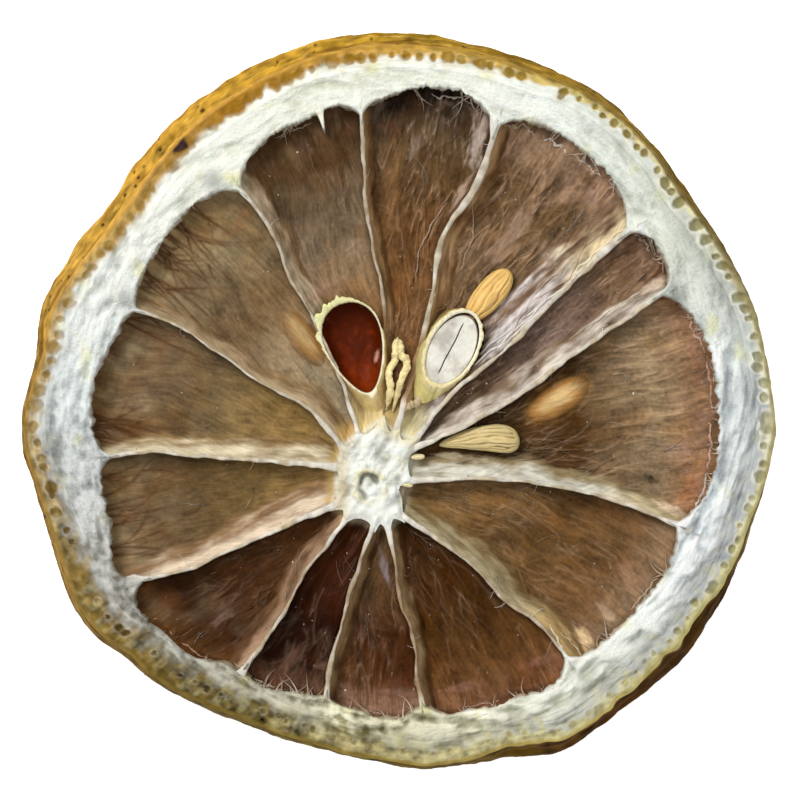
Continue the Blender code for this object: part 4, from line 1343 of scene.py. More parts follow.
def make_pulp(index):
    """A closed film. Its upper side takes every point of the grid and its lower side every third,
    and a band of six-cornered faces joins the two round the edge."""
    film = lay_film(index)
    add_wrinkles(film)
    stain_outer_end(film)
    add_slopes(film)
    add_cup(film)
    add_patches(film)
    meet_pith(film)
    if index in SUNK_SEEDS:
        add_sunk_seed(film)
    if index in SEED_WELLS:
        add_seed_well(film)
    low, low_colour = underside_of(film)
    x, y, share = film.x, film.y, film.share
    third = (slice(None, None, 3), slice(None, None, 3))
    upper, lower = np.stack([x, y, film.height], -1), np.stack([x, y, low], -1)[third]
    flow = np.stack([0.4 * film.along, 3.2 * film.curved, 3.0 * index + 0 * share], -1)
    points = np.concatenate([upper.reshape(-1, 3), lower.reshape(-1, 3)])
    tints = np.concatenate([film.colour.reshape(-1, 3), low_colour[third].reshape(-1, 3)])
    flows = np.concatenate([flow.reshape(-1, 3), flow[third].reshape(-1, 3)])
    upper_rim = grid_rim(np.arange(share.size).reshape(share.shape))
    lower_rim = grid_rim(np.arange(share[third].size).reshape(share[third].shape) + share.size)
    steps = [np.roll(upper_rim, -i)[::3] for i in range(4)]
    sides = np.stack([*steps, np.roll(lower_rim, -1), lower_rim], 1)
    below = quads(*share[third].shape)[:, ::-1] + share.size
    faces = [quads(*share.shape), below, sides[:, ::-1]]
    FILM_SURFACES[index] = (x.ravel(), y.ravel(), film.height.ravel(), film.colour.reshape(-1, 3))
    number = f"{index + 1:02d}"
    add_piece(f"pulp_film_{number}", points, faces, tints, pulp_finish, "pulp", [f"pulp_{number}"], flows)


def grid_rim(numbers):
    """The numbers round the edge of a grid, in order."""
    return np.concatenate([numbers[0, :-1], numbers[:-1, -1], numbers[-1, :0:-1], numbers[:0:-1, 0]])


pulp_finish = finish_of("pulp_film", 0.36, 0.1, 4600, (0.06, 0.05), 1.7, 0.21, 0.045)
for space in range(COUNT):
    make_pulp(space)

# ---------------------------------------------------------------- Seeds
# The knife opened two seeds: one coat is an empty glossy cup, the other still holds its cut white
# kernel. A third shrank to two strands. Two ridged seeds lie whole on the pulp, two more are sunk
# under the film of it, and two never grew. Their coats are papery, cream to gold.
SEED_CUT = 5.6
EGG_STEPS = 260
EGG_TURN = np.arange(EGG_STEPS) * TURN / EGG_STEPS
SEED_CREAM = paint(224, 208, 158)
SEED_WHITE = paint(234, 228, 204)
CUP_BROWN = paint(96, 52, 30)


def egg(middle, direction, long, wide, taper):
    """An egg's outline, going round from its fat end: long and wide are its half axes."""
    along = long * np.cos(EGG_TURN)
    side = wide * np.sin(EGG_TURN) * (1 + taper * np.cos(EGG_TURN))
    c, s = facing(direction)
    return np.stack([middle[0] + along * c - side * s, middle[1] + along * s + side * c], 1)


def closed(rings, tints):
    """Rings of points and their colours as one closed lump: points, groups of faces, colours."""
    rings, tints = np.stack(rings), np.stack(tints)
    count, corners = rings.shape[:2]
    points = np.concatenate([rings.reshape(-1, 3), rings[[0, -1]].mean(1)])
    colours = np.concatenate([tints.reshape(-1, 3), tints[[0, -1]].mean(1)])
    fans = fan_ends(0, (count - 1) * corners, corners, count * corners)
    return points, [quads(count, corners, False, True), fans], colours


def tubes(paths, radii, sides=6, flat=1.0, roll=0.0):
    """Closed tubes along paths, all with as many steps. Flat is the section's height as a share of
    its width, and roll turns the section about the path. The ends close with small caps."""
    ahead = unit(np.gradient(paths, axis=1))
    left = unit(np.stack([-ahead[..., 1], ahead[..., 0], 0 * ahead[..., 0]], -1))
    up = np.cross(ahead, left)
    turn = np.arange(sides) * TURN / sides
    level, rise = np.cos(turn), flat * np.sin(turn)
    roll = np.broadcast_to(roll, paths.shape[:2])[..., None, None]
    level, rise = level[:, None], rise[:, None]
    section = (level * np.cos(roll) - rise * np.sin(roll)) * left[:, :, None]
    section = section + (level * np.sin(roll) + rise * np.cos(roll)) * up[:, :, None]
    points = paths[:, :, None] + radii[..., None, None] * section
    count, steps = paths.shape[:2]
    starts = np.arange(count)[:, None] * steps * sides
    faces = (starts[..., None] + quads(steps, sides, False, True)).reshape(-1, 4)
    ring = np.arange(sides)
    caps = np.concatenate([starts + ring[::-1], starts + (steps - 1) * sides + ring])
    return points.reshape(-1, 3), [faces, caps]


def join(parts):
    """Several closed lumps of points, faces and colours as one."""
    starts = np.cumsum([0] + [len(points) for points, _, _ in parts[:-1]])
    faces = [group + start for (_, groups, _), start in zip(parts, starts) for group in groups]
    return np.concatenate([part[0] for part in parts]), faces, np.concatenate([part[2] for part in parts])


def smooth_path(knots, steps):
    """A smooth curve from the first knot to the last one, at even steps."""
    knots = np.asarray(knots, float)
    full = np.concatenate([[2 * knots[0] - knots[1]], knots, [2 * knots[-1] - knots[-2]]])
    return spline(full, np.linspace(0, len(knots) - 1.0001, steps))


def make_coat(name, inner, outer, base, depth, foot, tone_of, stands_for):
    """A cut seed coat: up its outer wall from the outline of its base, over the cut rim, and down
    inside to a round bottom. Inner and outer are the outlines of the rim."""
    middle = inner.mean(0)
    away = unit(outer - middle)
    rings, tints = [], []
    crumbs = cloud(*outer.T, 1.6, 401, 3)
    rim = SEED_CUT + 0.12 * crumbs
    for level in (0.0, 0.02, 0.12, 0.25, 0.4, 0.55, 0.7, 0.82, 0.92):
        plan = outer + (1 - level) ** 1.1 * (base - outer)
        plan = plan * 0.5 + middle * 0.5 if level == 0 else plan
        height = foot + level * (rim - foot)
        fold = layers(*(1.2 * plan.T), 0.6 * level, 403, 3)
        rings.append(np.c_[plan - 0.12 * fold[:, None] * away, height])
        tints.append(tone_of(*plan.T, np.full(len(plan), level), fold))
    for share, rise in ((0.0, 0.0), (0.12, 0.07), (0.35, 0.1), (0.65, 0.08), (0.9, 0.02), (1.0, -0.06)):
        plan = outer + share * (inner - outer)
        grain = cloud(*plan.T, 4, 405, 2)
        rings.append(np.c_[plan, rim + rise + 0.06 * grain])
        tints.append(tone_of(*plan.T, np.full(len(plan), 1.0 + 0.5 * share), 0.6 * grain))
    for share in (0.99, 0.97, 0.9, 0.75, 0.5, 0.2):
        plan = middle + share * (inner - middle)
        rings.append(np.c_[plan, rim - 0.1 - depth * (1 - share**4) ** 0.5])
        tints.append(np.ones((len(plan), 3)) * CUP_BROWN)
    papery = finish_of(name + "_paper", 0.55, 0.1, 5200, (0.03, 0.04), 2.4, 0.1, 0.3, 0.25)
    add_piece(name, *closed(rings, tints), papery, "seed_coat", stands_for)


def make_open_seed():
    """The empty coat: a ragged pale green edge at its upper left, and a glossy lining inside, which
    holds painted light, shade and a highlight.
    """
    inner = egg((-3.4, 3.99), 107, 3.58, 2.12, 0.34)
    ragged = ease(np.cos(EGG_TURN - math.radians(28)), 0.45, 0.95)
    torn = noise(9 * np.cos(EGG_TURN), 9 * np.sin(EGG_TURN), 0, 411)
    inner = inner + 0.22 * (ragged * torn)[:, None]
    uneven = layers(5 * np.cos(EGG_TURN), 5 * np.sin(EGG_TURN), 0, 413, 4)
    width = np.maximum(0.17 + 0.36 * ragged + 0.12 * uneven * (1 + 4 * ragged), 0.1)
    width = width + 0.35 * ease(np.cos(EGG_TURN - math.radians(190)), 0.95, 0.995)
    outer = inner + width[:, None] * unit(inner - inner.mean(0))
    base = egg((-2.8, 2.75), 107, 4.9, 2.25, 0.25)

    def tone_of(x, y, level, grain):
        left = ease(y - 0.6 * x, 7.0, 10.5)
        top = mix(mix(SEED_CREAM, SEED_WHITE, ease(level, 1.05, 1.4)), paint(216, 214, 158), left)
        wall = mix(paint(204, 170, 108), paint(204, 192, 128), left)
        wall = mix(wall, paint(222, 202, 142), ease(y, 1.5, -1.5))
        return mix(wall, top, ease(level, 0.75, 1.0)) * (1 + 0.45 * grain)[:, None]

    make_coat("seed_open_coat", inner, outer, base, 2.1, 3.15, tone_of, ["seed_open"])
    rings, tints = [], []
    middle = inner.mean(0)
    for back in (0.0, 0.07):
        shares = np.r_[np.linspace(0.03, 0.8, 14), 0.86, 0.91, 0.95, 0.975, 0.99]
        for share in shares[:: -1 if back else 1]:
            plan = middle + (share - 0.01 * (back > 0)) * (inner - middle)
            x, y = plan.T
            dent = 0.16 * cloud(x, y, 0.6, 415, 4)
            height = SEED_CUT - 0.13 - back - 1.9 * (1 - share**4) ** 0.5
            rings.append(np.c_[plan, height + dent * (1 - share)])
            # Painted light: the lining is lighter towards the lower right, which faces the lamp.
            light = ease(0.5 * x - y, -6.2, -1.2)
            streak = layers(0.9 * x, 0.35 * y, 0, 417, 3)
            grit = cloud(x, y, 2.2, 419, 3)
            colour = mix(paint(80, 24, 0), paint(132, 48, 8), light + 0.6 * streak + 0.5 * grit)
            # Painted shadow at the top of the cup, under the upper rim.
            colour = mix(colour, paint(70, 22, 8), 0.6 * ease(y + 0.25 * x, 4.6, 6.4))
            # A painted highlight on the lining at its right.
            pink = blotch(x, y, (-1.75, 3.4, 0.55, 0.16, 75))
            colour = mix(colour, paint(226, 178, 160), 0.8 * pink)
            # Painted shade just inside the rim, on the side away from the lamp.
            tints.append(mix(colour, paint(60, 22, 10), 0.5 * ease(share, 0.93, 0.99) * (1 - light)))
    lining = finish_of("seed_lining", 0.5, 0.1, 2500, (0.02, 0.02), 1.5, 0.08, 0.07)
    add_piece("seed_open_lining", *closed(rings, tints), lining, "seed_coat")


def make_kernel_seed():
    """The coat with the kernel: the kernel fills it but for a gap at its upper right. The knife
    left the kernel flat, marbled grey and white, with a crack between its two halves."""
    inner = egg((4.02, 3.97), 61.5, 2.96, 1.72, 0.0)
    outer = egg((3.97, 3.92), 62, 3.26, 1.98, 0.08)
    uneven = layers(6 * np.cos(EGG_TURN), 6 * np.sin(EGG_TURN), 0, 423, 4)[:, None]
    outer = outer + (0.04 + 0.14 * uneven) * unit(outer - inner)
    base = egg((3.2, 2.9), 68, 4.45, 2.3, 0.1)

    def tone_of(x, y, level, grain):
        top = mix(SEED_CREAM, SEED_WHITE, ease(level, 1.0, 1.3) * ease(x + y, 4, 9))
        below = ease(x + 0.6 * y, 8.5, 4.0)
        wall = mix(paint(160, 128, 76), paint(214, 202, 132), below)
        colour = mix(wall, top, ease(level, 0.7, 1.0)) * (1 + 0.5 * grain)[:, None]
        return mix(colour, 0.45 * colour, ease(level, 0.35, 0.0))

    make_coat("seed_kernel_shell", inner, outer, base, 1.9, 3.3, tone_of, ["seed_kernel_coat"])
    kernel = egg((3.94, 3.84), 61.5, 2.93, 1.7, 0.0)
    middle = kernel.mean(0)
    rings, tints = [], []
    crack_from, crack_to = np.array((4.92, 5.94)), np.array((2.91, 2.01))
    along = unit(crack_to - crack_from)
    for share in np.r_[np.linspace(0.012, 0.9, 46), np.linspace(0.915, 1.0, 9)]:
        plan = middle + share * (kernel - middle)
        x, y = plan.T
        place = plan - crack_from
        down = place @ along
        bend = 0.06 * noise(1.3 * down, 0.5, 0, 421)
        gap = np.abs(place @ np.array((-along[1], along[0])) - bend)
        crack = ease(gap, 0.06, 0.015) * ease(down, -0.1, 0.4) * ease(down, 4.5, 4.1)
        marble = cloud(x, y, 0.5, 423, 4)
        fine = cloud(x, y, 3.5, 427, 2)
        skin = ease(share, 0.95, 0.985)
        height = SEED_CUT - 0.12 - 0.1 * ease(share, 0.95, 1.0) + 0.06 * marble + 0.02 * fine - 0.22 * crack
        rings.append(np.c_[plan, height])
        pale = mix(paint(224, 222, 211), paint(184, 178, 168), ease(marble, -0.1, 0.35))
        grey = ease(y - 0.4 * x, 3.4, 5.4) + ease(x + y, 5.6, 4.6)
        colour = mix(pale, paint(176, 166, 158), 0.45 * grey) * (1 + 0.12 * fine)[:, None]
        upper_right = ease(x + 0.8 * y, 7.6, 9.2)
        rim_tone = mix(paint(206, 190, 160), paint(112, 78, 64), upper_right)
        colour = mix(colour, rim_tone, 0.85 * skin)
        tints.append(mix(colour, paint(40, 32, 28), crack))
    for share, height in ((1.0, 5.0), (0.95, 4.4), (0.7, 3.9), (0.2, 3.8)):
        rings.append(np.c_[middle + share * (kernel - middle), np.full(EGG_STEPS, height)])
        tints.append(np.ones((EGG_STEPS, 3)) * paint(96, 64, 50))
    flesh = finish_of("kernel_flesh", 0.5, 0.08, 3000, (0.02, 0.02), 1.2, 0.05, 0.35, 0.3)
    add_piece("seed_kernel_half", *closed(rings, tints), flesh, "seed_kernel", ["seed_kernel"])


# The two strands of the shrunken coat, from their upper ends down, and the remains between them.
LEFT_STRAND = (
    (-0.2, 4.8), (-0.32, 4.2), (-0.34, 3.5), (-0.4, 3.0), (-0.78, 2.4), (-0.86, 1.7), (-0.72, 0.9),
    (-0.9, -0.1), (-1.1, -0.8),
)
RIGHT_STRAND = (
    (-0.1, 4.7), (0.05, 4.1), (0.12, 3.45), (0.46, 3.1), (0.5, 2.5), (0.22, 1.9), (0.0, 1.2), (-0.3, 0.2),
    (-0.55, -0.9),
)
REMAINS = ((-0.1, 4.3), (-0.1, 3.4), (-0.18, 2.4), (-0.35, 1.4), (-0.6, 0.5))


def make_shrunken_seed():
    """Two bumpy papery strands that meet below, with the dark dry remains between them."""
    parts = []
    for number, (knots, width) in enumerate(((LEFT_STRAND, 0.25), (RIGHT_STRAND, 0.26))):
        path = smooth_path(knots, 90)
        place = np.linspace(0, 1, 90)
        height = 5.25 + 0.25 * noise(7 * place, number, 0, 431)
        height = height - 1.1 * ease(place, 0.7, 1.0) - 0.5 * ease(place, 0.1, 0.0)
        size = width * (1 + 0.8 * noise(11 * place, number, 0, 433))
        size = size * ease(place, -0.02, 0.1) * ease(place, 1.04, 0.8) + 0.03
        points, faces = tubes(np.c_[path, height][None], size[None], 18, 0.9)
        bumps = layers(2.6 * points[:, 0], 2.6 * points[:, 1], 2 * points[:, 2], 435, 4)
        points = points + 0.1 * bumps[:, None]
        # Painted shade: each strand is pale on top and darker underneath.
        high = ease(points[:, 2] - np.repeat(height, 18), -0.25, 0.15)
        tint = mix(paint(140, 104, 52), paint(230, 212, 156), high) * (1 + 0.5 * bumps)[:, None]
        parts.append((points, faces, tint))
    path = smooth_path(REMAINS, 40)
    place = np.linspace(0, 1, 40)
    core = np.c_[path, 4.75 - 0.5 * place]
    size = 0.42 * np.sin(math.pi * (0.08 + 0.86 * place)) ** 0.6
    points, faces = tubes(core[None], size[None], 12, 0.9)
    rough = cloud(points[:, 0], points[:, 1], 2.5, 437, 2)
    parts.append((points + 0.1 * rough[:, None], faces, paint(112, 72, 46) * (1 + 1.2 * rough)[:, None]))
    dry = finish_of("seed_strand", 0.5, 0.1, 4800, (0.03, 0.05), 2.0, 0.12, 0.35, 0.2)
    add_piece("seed_strands", *join(parts), dry, "seed_coat", ["seed_shrunken"])


def add_whole_seed(name, middle, direction, sizes, height, ridges, tones, gloss, stands_for):
    """A whole seed: ovals across its length, pointed where the taper is strong. Ridges run from tip
    to tip round it and fade at the ends. Sizes are half length, half width, half height, taper, how
    blunt the fat end is and how far it bows to its left. Ridges are their count, depth and twist."""
    long, wide, thick, taper, blunt, bow = sizes
    count, depth, twist = ridges
    light, dark = (paint(*tone) for tone in tones)
    along = -np.cos(np.linspace(0.02, 1, 110) * math.pi * 0.992)
    turn = np.arange(120) * TURN / 120
    u, round_it = np.meshgrid(along, turn, indexing="ij")
    size = (1 - np.abs(u) ** np.where(u > 0, blunt, 2.0)) ** 0.5 * (1 + taper * u) / (1 + 0.4 * abs(taper))
    lie = round_it + twist * u
    lie = lie + 0.5 * layers(1.2 * u, 2 * np.cos(round_it), 2 * np.sin(round_it), 441, 2)
    wave = np.cos(count * lie)
    ridge = 1 - np.abs(wave) ** 0.7
    ends = ease(np.abs(u), 1.0, 0.82)
    fine = noise(6 * u, 9 * np.cos(lie), 9 * np.sin(lie), 443)
    broad = noise(1.6 * u, np.cos(round_it), np.sin(round_it), 447)
    bump = 1 - depth * ridge * ends + 0.03 * fine + 0.06 * broad
    side, up = size * wide * np.cos(round_it) * bump, size * thick * np.sin(round_it) * bump
    side = side + bow * (1 - u**2)
    c, s = facing(direction)
    x = middle[0] + long * u * c - side * s
    y = middle[1] + long * u * s + side * c
    points = np.stack([x, y, height + up], -1)
    streak = layers(1.5 * u, 5 * np.cos(lie), 5 * np.sin(lie), 449, 3)
    # Between the ridges the coat is darker, partly painted shade in the grooves.
    colour = mix(light, dark, ease(ridge * ends, 0.35, 0.95) + 0.3 * ease(streak, 0.1, 0.5))
    colour = colour * (1 + 0.35 * streak)[..., None]
    # Painted shade on the underside.
    colour = mix(colour, 0.5 * dark, ease(up, 0.1, -0.5))
    shell = finish_of(name + "_coat", gloss, 0.1, 4200, (0.02, 0.03), 1.6, 0.08, 0.35, 0.2)
    add_piece(name, *closed(list(points), list(colour)), shell, "seed_coat", stands_for)


make_open_seed()
make_kernel_seed()
make_shrunken_seed()
# The whole seeds' tones, on their ridges and between them; the darker tone in the grooves is partly
# painted shade.
GOLD, CREAM = ((228, 188, 112), (194, 146, 76)), ((206, 186, 132), (150, 118, 68))
SUNK, SMALL = ((206, 158, 90), (150, 96, 40)), ((228, 212, 168), (168, 140, 90))
# Each whole seed: its name, middle, direction, sizes, height, ridges, tones and gloss, and the node
# that it replaces, if it has one.
WHOLE_SEEDS = (
    ("seed_gold", (6.75, 7.95), 50, (2.6, 1.12, 0.95, 0.05, 2.6, 0.0),
     4.35, (5, 0.18, 0.25), GOLD, 0.42, ["seed_ridged_gold"]),
    ("seed_cream", (6.1, -3.3), 3, (3.1, 1.1, 0.95, 0.45, 4.0, 0.35),
     4.45, (7, 0.2, 0.3), CREAM, 0.5, ["seed_ridged_cream"]),
    ("seed_under_right", (12.3, -0.1), 31, (2.2, 0.8, 0.5, 0.1, 2.4, 0.0),
     3.3, (6, 0.1, 0.2), SUNK, 0.5, ["seed_sunk_right"]),
    ("seed_under_left", (-7.3, 4.75), 127, (2.0, 0.7, 0.5, 0.1, 2.4, 0.0),
     3.3, (6, 0.1, 0.2), SUNK, 0.5, ["seed_sunk_left"]),
    ("seed_tiny_right", (1.38, -4.37), 5, (0.52, 0.23, 0.2, 0.1, 2.2, 0.0),
     5.15, (4, 0.05, 0.1), SMALL, 0.5, []),
    ("seed_tiny_core", (0.52, -6.51), -10, (0.46, 0.18, 0.16, 0.1, 2.2, 0.0),
     5.2, (4, 0.05, 0.1), SMALL, 0.5, []),
)
for whole in WHOLE_SEEDS:
    add_whole_seed(*whole)

# ---------------------------------------------------------------- Threads
# Threads of dried sac skin tore loose when the slice was cut. They lie on the films, stand in
# tufts where the films meet the pith and hang from the walls' edges, with crumbs among them.
# They stay stuck at their roots.
CELL = 0.1
CELLS = 640
THREAD_CEILING = 5.95
RIBBON_CEILING = 5.9
THREAD_TONES = paint((226, 204, 184), (204, 176, 150), (240, 228, 208))
# For each space: how many threads lie on its film and how far they stray from straight.
LOOSE = (
    (5, 0.7), (36, 0.3), (70, 0.4), (34, 0.45), (60, 0.35), (26, 0.4), (8, 0.3), (7, 0.4), (4, 0.4),
    (10, 0.4), (4, 0.5), (4, 0.5), (6, 0.5),
)
# Tufts at the pith: the space, the place across it, the number of hairs and their length.
TUFTS = (
    (0, -0.1, 4, 1.6), (0, 0.02, 3, 1.2), (1, 0.5, 4, 2.2), (1, 0.75, 5, 1.8), (1, -0.2, 3, 2.0),
    (2, -0.3, 4, 2.0), (2, 0.1, 5, 2.4), (2, 0.5, 4, 1.8), (3, 0.1, 6, 1.5), (3, -0.5, 4, 1.6),
    (4, -0.9, 3, 1.2), (4, -0.62, 6, 1.4), (4, -0.5, 5, 1.2), (4, -0.3, 4, 1.0), (4, 0.0, 5, 0.9),
    (4, 0.3, 5, 1.0), (4, 0.55, 5, 1.0), (4, 0.75, 4, 1.2), (5, -0.4, 5, 1.6), (5, -0.1, 4, 1.4),
    (5, 0.5, 6, 1.8), (5, 0.7, 5, 1.6), (6, -0.5, 4, 1.3), (6, -0.25, 5, 1.6), (6, 0.1, 4, 1.3),
    (6, 0.45, 4, 1.5), (7, -0.8, 7, 1.9), (7, -0.55, 5, 1.7), (7, -0.2, 4, 1.6), (7, 0.1, 5, 1.9),
    (7, 0.45, 4, 1.4), (8, -0.6, 5, 1.6), (8, -0.25, 5, 1.8), (8, 0.1, 4, 1.3), (8, 0.4, 5, 1.6),
    (9, -0.5, 3, 1.0), (9, 0.2, 3, 0.9), (12, 0.4, 2, 0.9), (10, -0.3, 2, 0.9),
)


def make_film_map():
    """The height of the films over a square of cells, and their colour there. An empty cell is at
    the films' level."""
    heights, colours = np.zeros((CELLS, CELLS)), np.ones((CELLS, CELLS, 3)) * 0.2
    for x, y, height, colour in FILM_SURFACES.values():
        column, row = ((v / CELL + CELLS / 2).astype(int) for v in (x, y))
        np.maximum.at(heights, (row, column), height)
        colours[row, column] = colour
    return np.where(heights > 0, heights, FILM_TOP), colours


HEIGHT_MAP, COLOUR_MAP = make_film_map()


def cells_under(plan):
    """The cells of the film map under each point of a plan."""
    column, row = np.moveaxis((plan / CELL + CELLS / 2).astype(int), -1, 0)
    return row, column


def film_height(plan):
    """The height of the films under each point of a plan."""
    return HEIGHT_MAP[cells_under(plan)]


def thread_piece(name, paths, radii, tones, sides, flat, roll, finish):
    """A piece made of tubes, with a tone for each step of each path."""
    points, faces = tubes(paths, radii, sides, flat, roll)
    tints = np.repeat(np.broadcast_to(tones, paths.shape).reshape(-1, 3), sides, axis=0)
    add_piece(name, points, faces, tints, finish, "pulp")


def make_threads():
    """Thin tapering tubes. A loose thread lies on the film with an arch or two in it. A tuft's hairs
    spread from one root at the pith's edge, and a hanging hair drops from a wall's edge. Own is how
    far a thread keeps its own tone over the film's."""
    draw = np.random.default_rng(77)
    steps = 14
    share = np.linspace(0, 1, steps)
    threads = []

    def add(path, lift, size, tone, own, root=False):
        spread = np.linspace(0, 1, len(path))
        plan = np.stack([np.interp(share, spread, path[:, i]) for i in (0, 1)], 1)
        threads.append((plan, lift, size, tone * draw.uniform(0.75, 1.15), own, root))

    for index, (count, spread) in enumerate(LOOSE):
        for path in fibre_paths(index, count, (0.8, 3.0), spread, (0.12, 0.97), 611, 9):
            arch = np.abs(np.sin(share * math.pi * draw.integers(1, 3))) * draw.uniform(0.0, 0.5) ** 2.5
            add(path, arch, draw.uniform(0.012, 0.028), THREAD_TONES[0], draw.uniform(0.02, 0.22))
        for path in fibre_paths(index, count // 4, (0.4, 1.6), 1.2 * spread, (0.3, 0.98), 617, 3):
            arch = np.abs(np.sin(share * math.pi * draw.integers(1, 3))) * draw.uniform(0.0, 0.6) ** 1.5
            add(path, arch, draw.uniform(0.012, 0.024), THREAD_TONES[draw.integers(0, 2)], 0.42)
    for index, across, count, length in TUFTS:
        for _ in range(count):
            at = np.clip(across + draw.normal(0, 0.04), -0.95, 0.95)
            start, heading = set_out(index, at, 1.0, 0.9)
            heading = heading + draw.normal(0, 0.75)
            path = wander(draw, start, heading, length * draw.uniform(0.2, 1.1), 13, 0.09)
            lift = 0.6 * (1 - share) ** 1.5 + 0.4 * np.sin(share * math.pi) * draw.uniform(0, 0.8)
            add(path, lift, draw.uniform(0.02, 0.045), THREAD_TONES[draw.integers(0, 2)], 0.65, True)
    hanging = (draw.integers(0, COUNT, 30), draw.uniform(0.25, 0.97, 30), draw.uniform(0.015, 0.03, 30))
    for index, at, size in zip(*hanging):
        start, ahead = membrane_line(index, np.array([at, at + 0.02]))
        heading = math.atan2(*(ahead - start)[::-1]) + draw.choice((-1, 1)) * draw.uniform(0.2, 1.7)
        path = wander(draw, start, heading, draw.uniform(0.5, 1.5), 9, 0.2)
        top = crest_height(index, np.array([at]))[0]
        drop = np.maximum(top + 0.02 - film_height(path), 0) * (1 - np.linspace(0, 1, len(path))) ** 2
        add(path, np.interp(share, np.linspace(0, 1, len(path)), drop) + 0.02, size, THREAD_TONES[2], 0.8)
    plans, lifts, sizes, tones, owns, rooted = (np.array(one) for one in zip(*threads))
    low = film_height(plans)
    calm = np.array([np.convolve(np.pad(one, 2, "edge"), np.ones(5) / 5, "valid") for one in low])
    heights = np.maximum(low, calm) + lifts + 0.4 * sizes[:, None]
    paths = np.concatenate([plans, np.minimum(heights, THREAD_CEILING)[..., None]], -1)
    even = 0.35 + 0.65 * np.sin(math.pi * (0.15 + 0.85 * share)) ** 0.7
    radii = sizes[:, None] * np.where(rooted[:, None], 2.4 * (1 - share) ** 1.5 + 0.25, even)
    dry = finish_of("thread_dry", 0.5, 0.1, 4200, (0.01, 0.01), 1.5, 0.08, 0.35, 0.3)
    under = COLOUR_MAP[cells_under(plans)]
    tones = mix(1.25 * under, tones[:, None], owns[:, None])
    thread_piece("thread_fibres", paths, radii, tones, 4, 1.0, 0.0, dry)
    return dry


thread_finish = make_threads()

# The torn ribbons of sac skin: where each starts and ends, how far it bows, its width and tone.
RIBBONS = (
    ((3.0, 0.2), (8.6, 5.5), 0.3, 0.1, (206, 198, 192)),
    ((4.6, 1.9), (11.3, 7.8), -0.3, 0.08, (226, 218, 208)),
    ((7.4, 4.0), (15.2, 11.2), -0.3, 0.1, (222, 206, 186)),
    ((8.6, 4.9), (13.6, 10.8), 0.7, 0.06, (176, 142, 118)),
    ((9.4, 6.2), (16.6, 12.4), -0.3, 0.09, (234, 222, 200)),
    ((10.4, 7.8), (14.2, 12.2), -0.8, 0.05, (180, 146, 112)),
    ((12.8, 9.0), (17.6, 13.3), 0.3, 0.09, (228, 208, 172)),
    ((13.0, 4.6), (19.8, 9.0), 0.3, 0.07, (206, 188, 164)),
    ((11.6, -17.2), (13.8, -20.6), -0.4, 0.1, (216, 204, 186)),
    ((12.3, -17.9), (14.6, -20.9), 0.3, 0.06, (206, 186, 160)),
    ((1.2, 9.5), (3.6, 15.2), 0.5, 0.05, (186, 166, 146)),
    ((4.4, 9.6), (5.5, 15.6), -0.6, 0.05, (180, 154, 130)),
    ((2.1, 0.35), (0.2, -0.7), 0.1, 0.3, (224, 204, 168)),
)
# Where the film peeled off the pith its torn edge shows as a pale line along the wall: the space,
# from where to where across it, how far from the wall, width and tone.
PEELS = (
    (2, 0.35, -0.05, 0.35, 0.08, (214, 190, 168)), (2, -0.1, -0.4, 0.5, 0.1, (226, 214, 200)),
    (2, -0.5, -0.9, 0.5, 0.08, (206, 176, 150)), (3, 0.5, -0.1, 0.3, 0.08, (196, 158, 132)),
    (3, -0.2, -0.8, 0.4, 0.1, (216, 196, 176)), (4, 0.9, 0.5, 0.3, 0.1, (222, 206, 190)),
    (4, 0.46, 0.1, 0.35, 0.11, (206, 164, 142)), (4, 0.05, -0.4, 0.25, 0.1, (190, 136, 112)),
    (4, -0.42, -0.85, 0.35, 0.1, (206, 160, 136)), (5, 0.1, -0.35, 0.3, 0.08, (214, 186, 160)),
    (6, 0.5, 0.0, 0.3, 0.08, (186, 150, 130)), (7, 0.3, -0.3, 0.3, 0.08, (190, 158, 140)),
    (8, 0.7, 0.1, 0.3, 0.1, (200, 180, 156)), (9, 0.2, -0.5, 0.3, 0.08, (170, 130, 104)),
    (1, 0.6, 0.0, 0.35, 0.08, (206, 186, 172)), (0, 0.3, -0.2, 0.3, 0.06, (190, 166, 146)),
)


def make_ribbons():
    """Flat tapering tubes that bow sideways, ripple and lean as they follow the film."""
    share = np.linspace(0, 1, 60)
    torn = []
    for number, (start, end, bow, width, tone) in enumerate(RIBBONS):
        start, end = np.array(start), np.array(end)
        ahead = unit(end - start)
        left = np.array((-ahead[1], ahead[0]))
        sway = bow * np.sin(math.pi * share) + 0.35 * layers(4 * share, 3.1 * number, 0, 631, 2)
        plan = start + share[:, None] * (end - start) + sway[:, None] * left
        torn.append((plan, width, paint(*tone)))
    for number, (index, first, last, offset, width, tone) in enumerate(PEELS):
        away = offset * (1 + 0.9 * layers(4 * share, 5.3 * number, 0, 641, 4))
        plan = space_points(index, 1 - away / 20, first + share * (last - first))[0]
        torn.append((plan, width, paint(*tone)))
    paths, radii, rolls = [], [], []
    for number, (plan, width, _) in enumerate(torn):
        low = np.convolve(np.pad(film_height(plan), 4, "edge"), np.ones(9) / 9, "valid")
        height = low + 0.1 + 0.12 * layers(6 * share, number, 0, 633, 2)
        paths.append(np.c_[plan, np.minimum(height, RIBBON_CEILING)])
        taper = np.sin(math.pi * (0.06 + 0.88 * share)) ** 0.5
        radii.append(width * taper * (1 + 1.2 * layers(9 * share, number, 0, 635, 3)))
        rolls.append(0.9 * layers(3 * share, 2.7 * number, 0, 637, 2))
    paths = np.array(paths)
    under = COLOUR_MAP[cells_under(paths[..., :2])]
    tones = mix(1.2 * under, np.array([tone for _, _, tone in torn])[:, None], 0.6)
    thread_piece("thread_ribbons", paths, np.array(radii), tones, 10, 0.4, np.array(rolls), thread_finish)


make_ribbons()


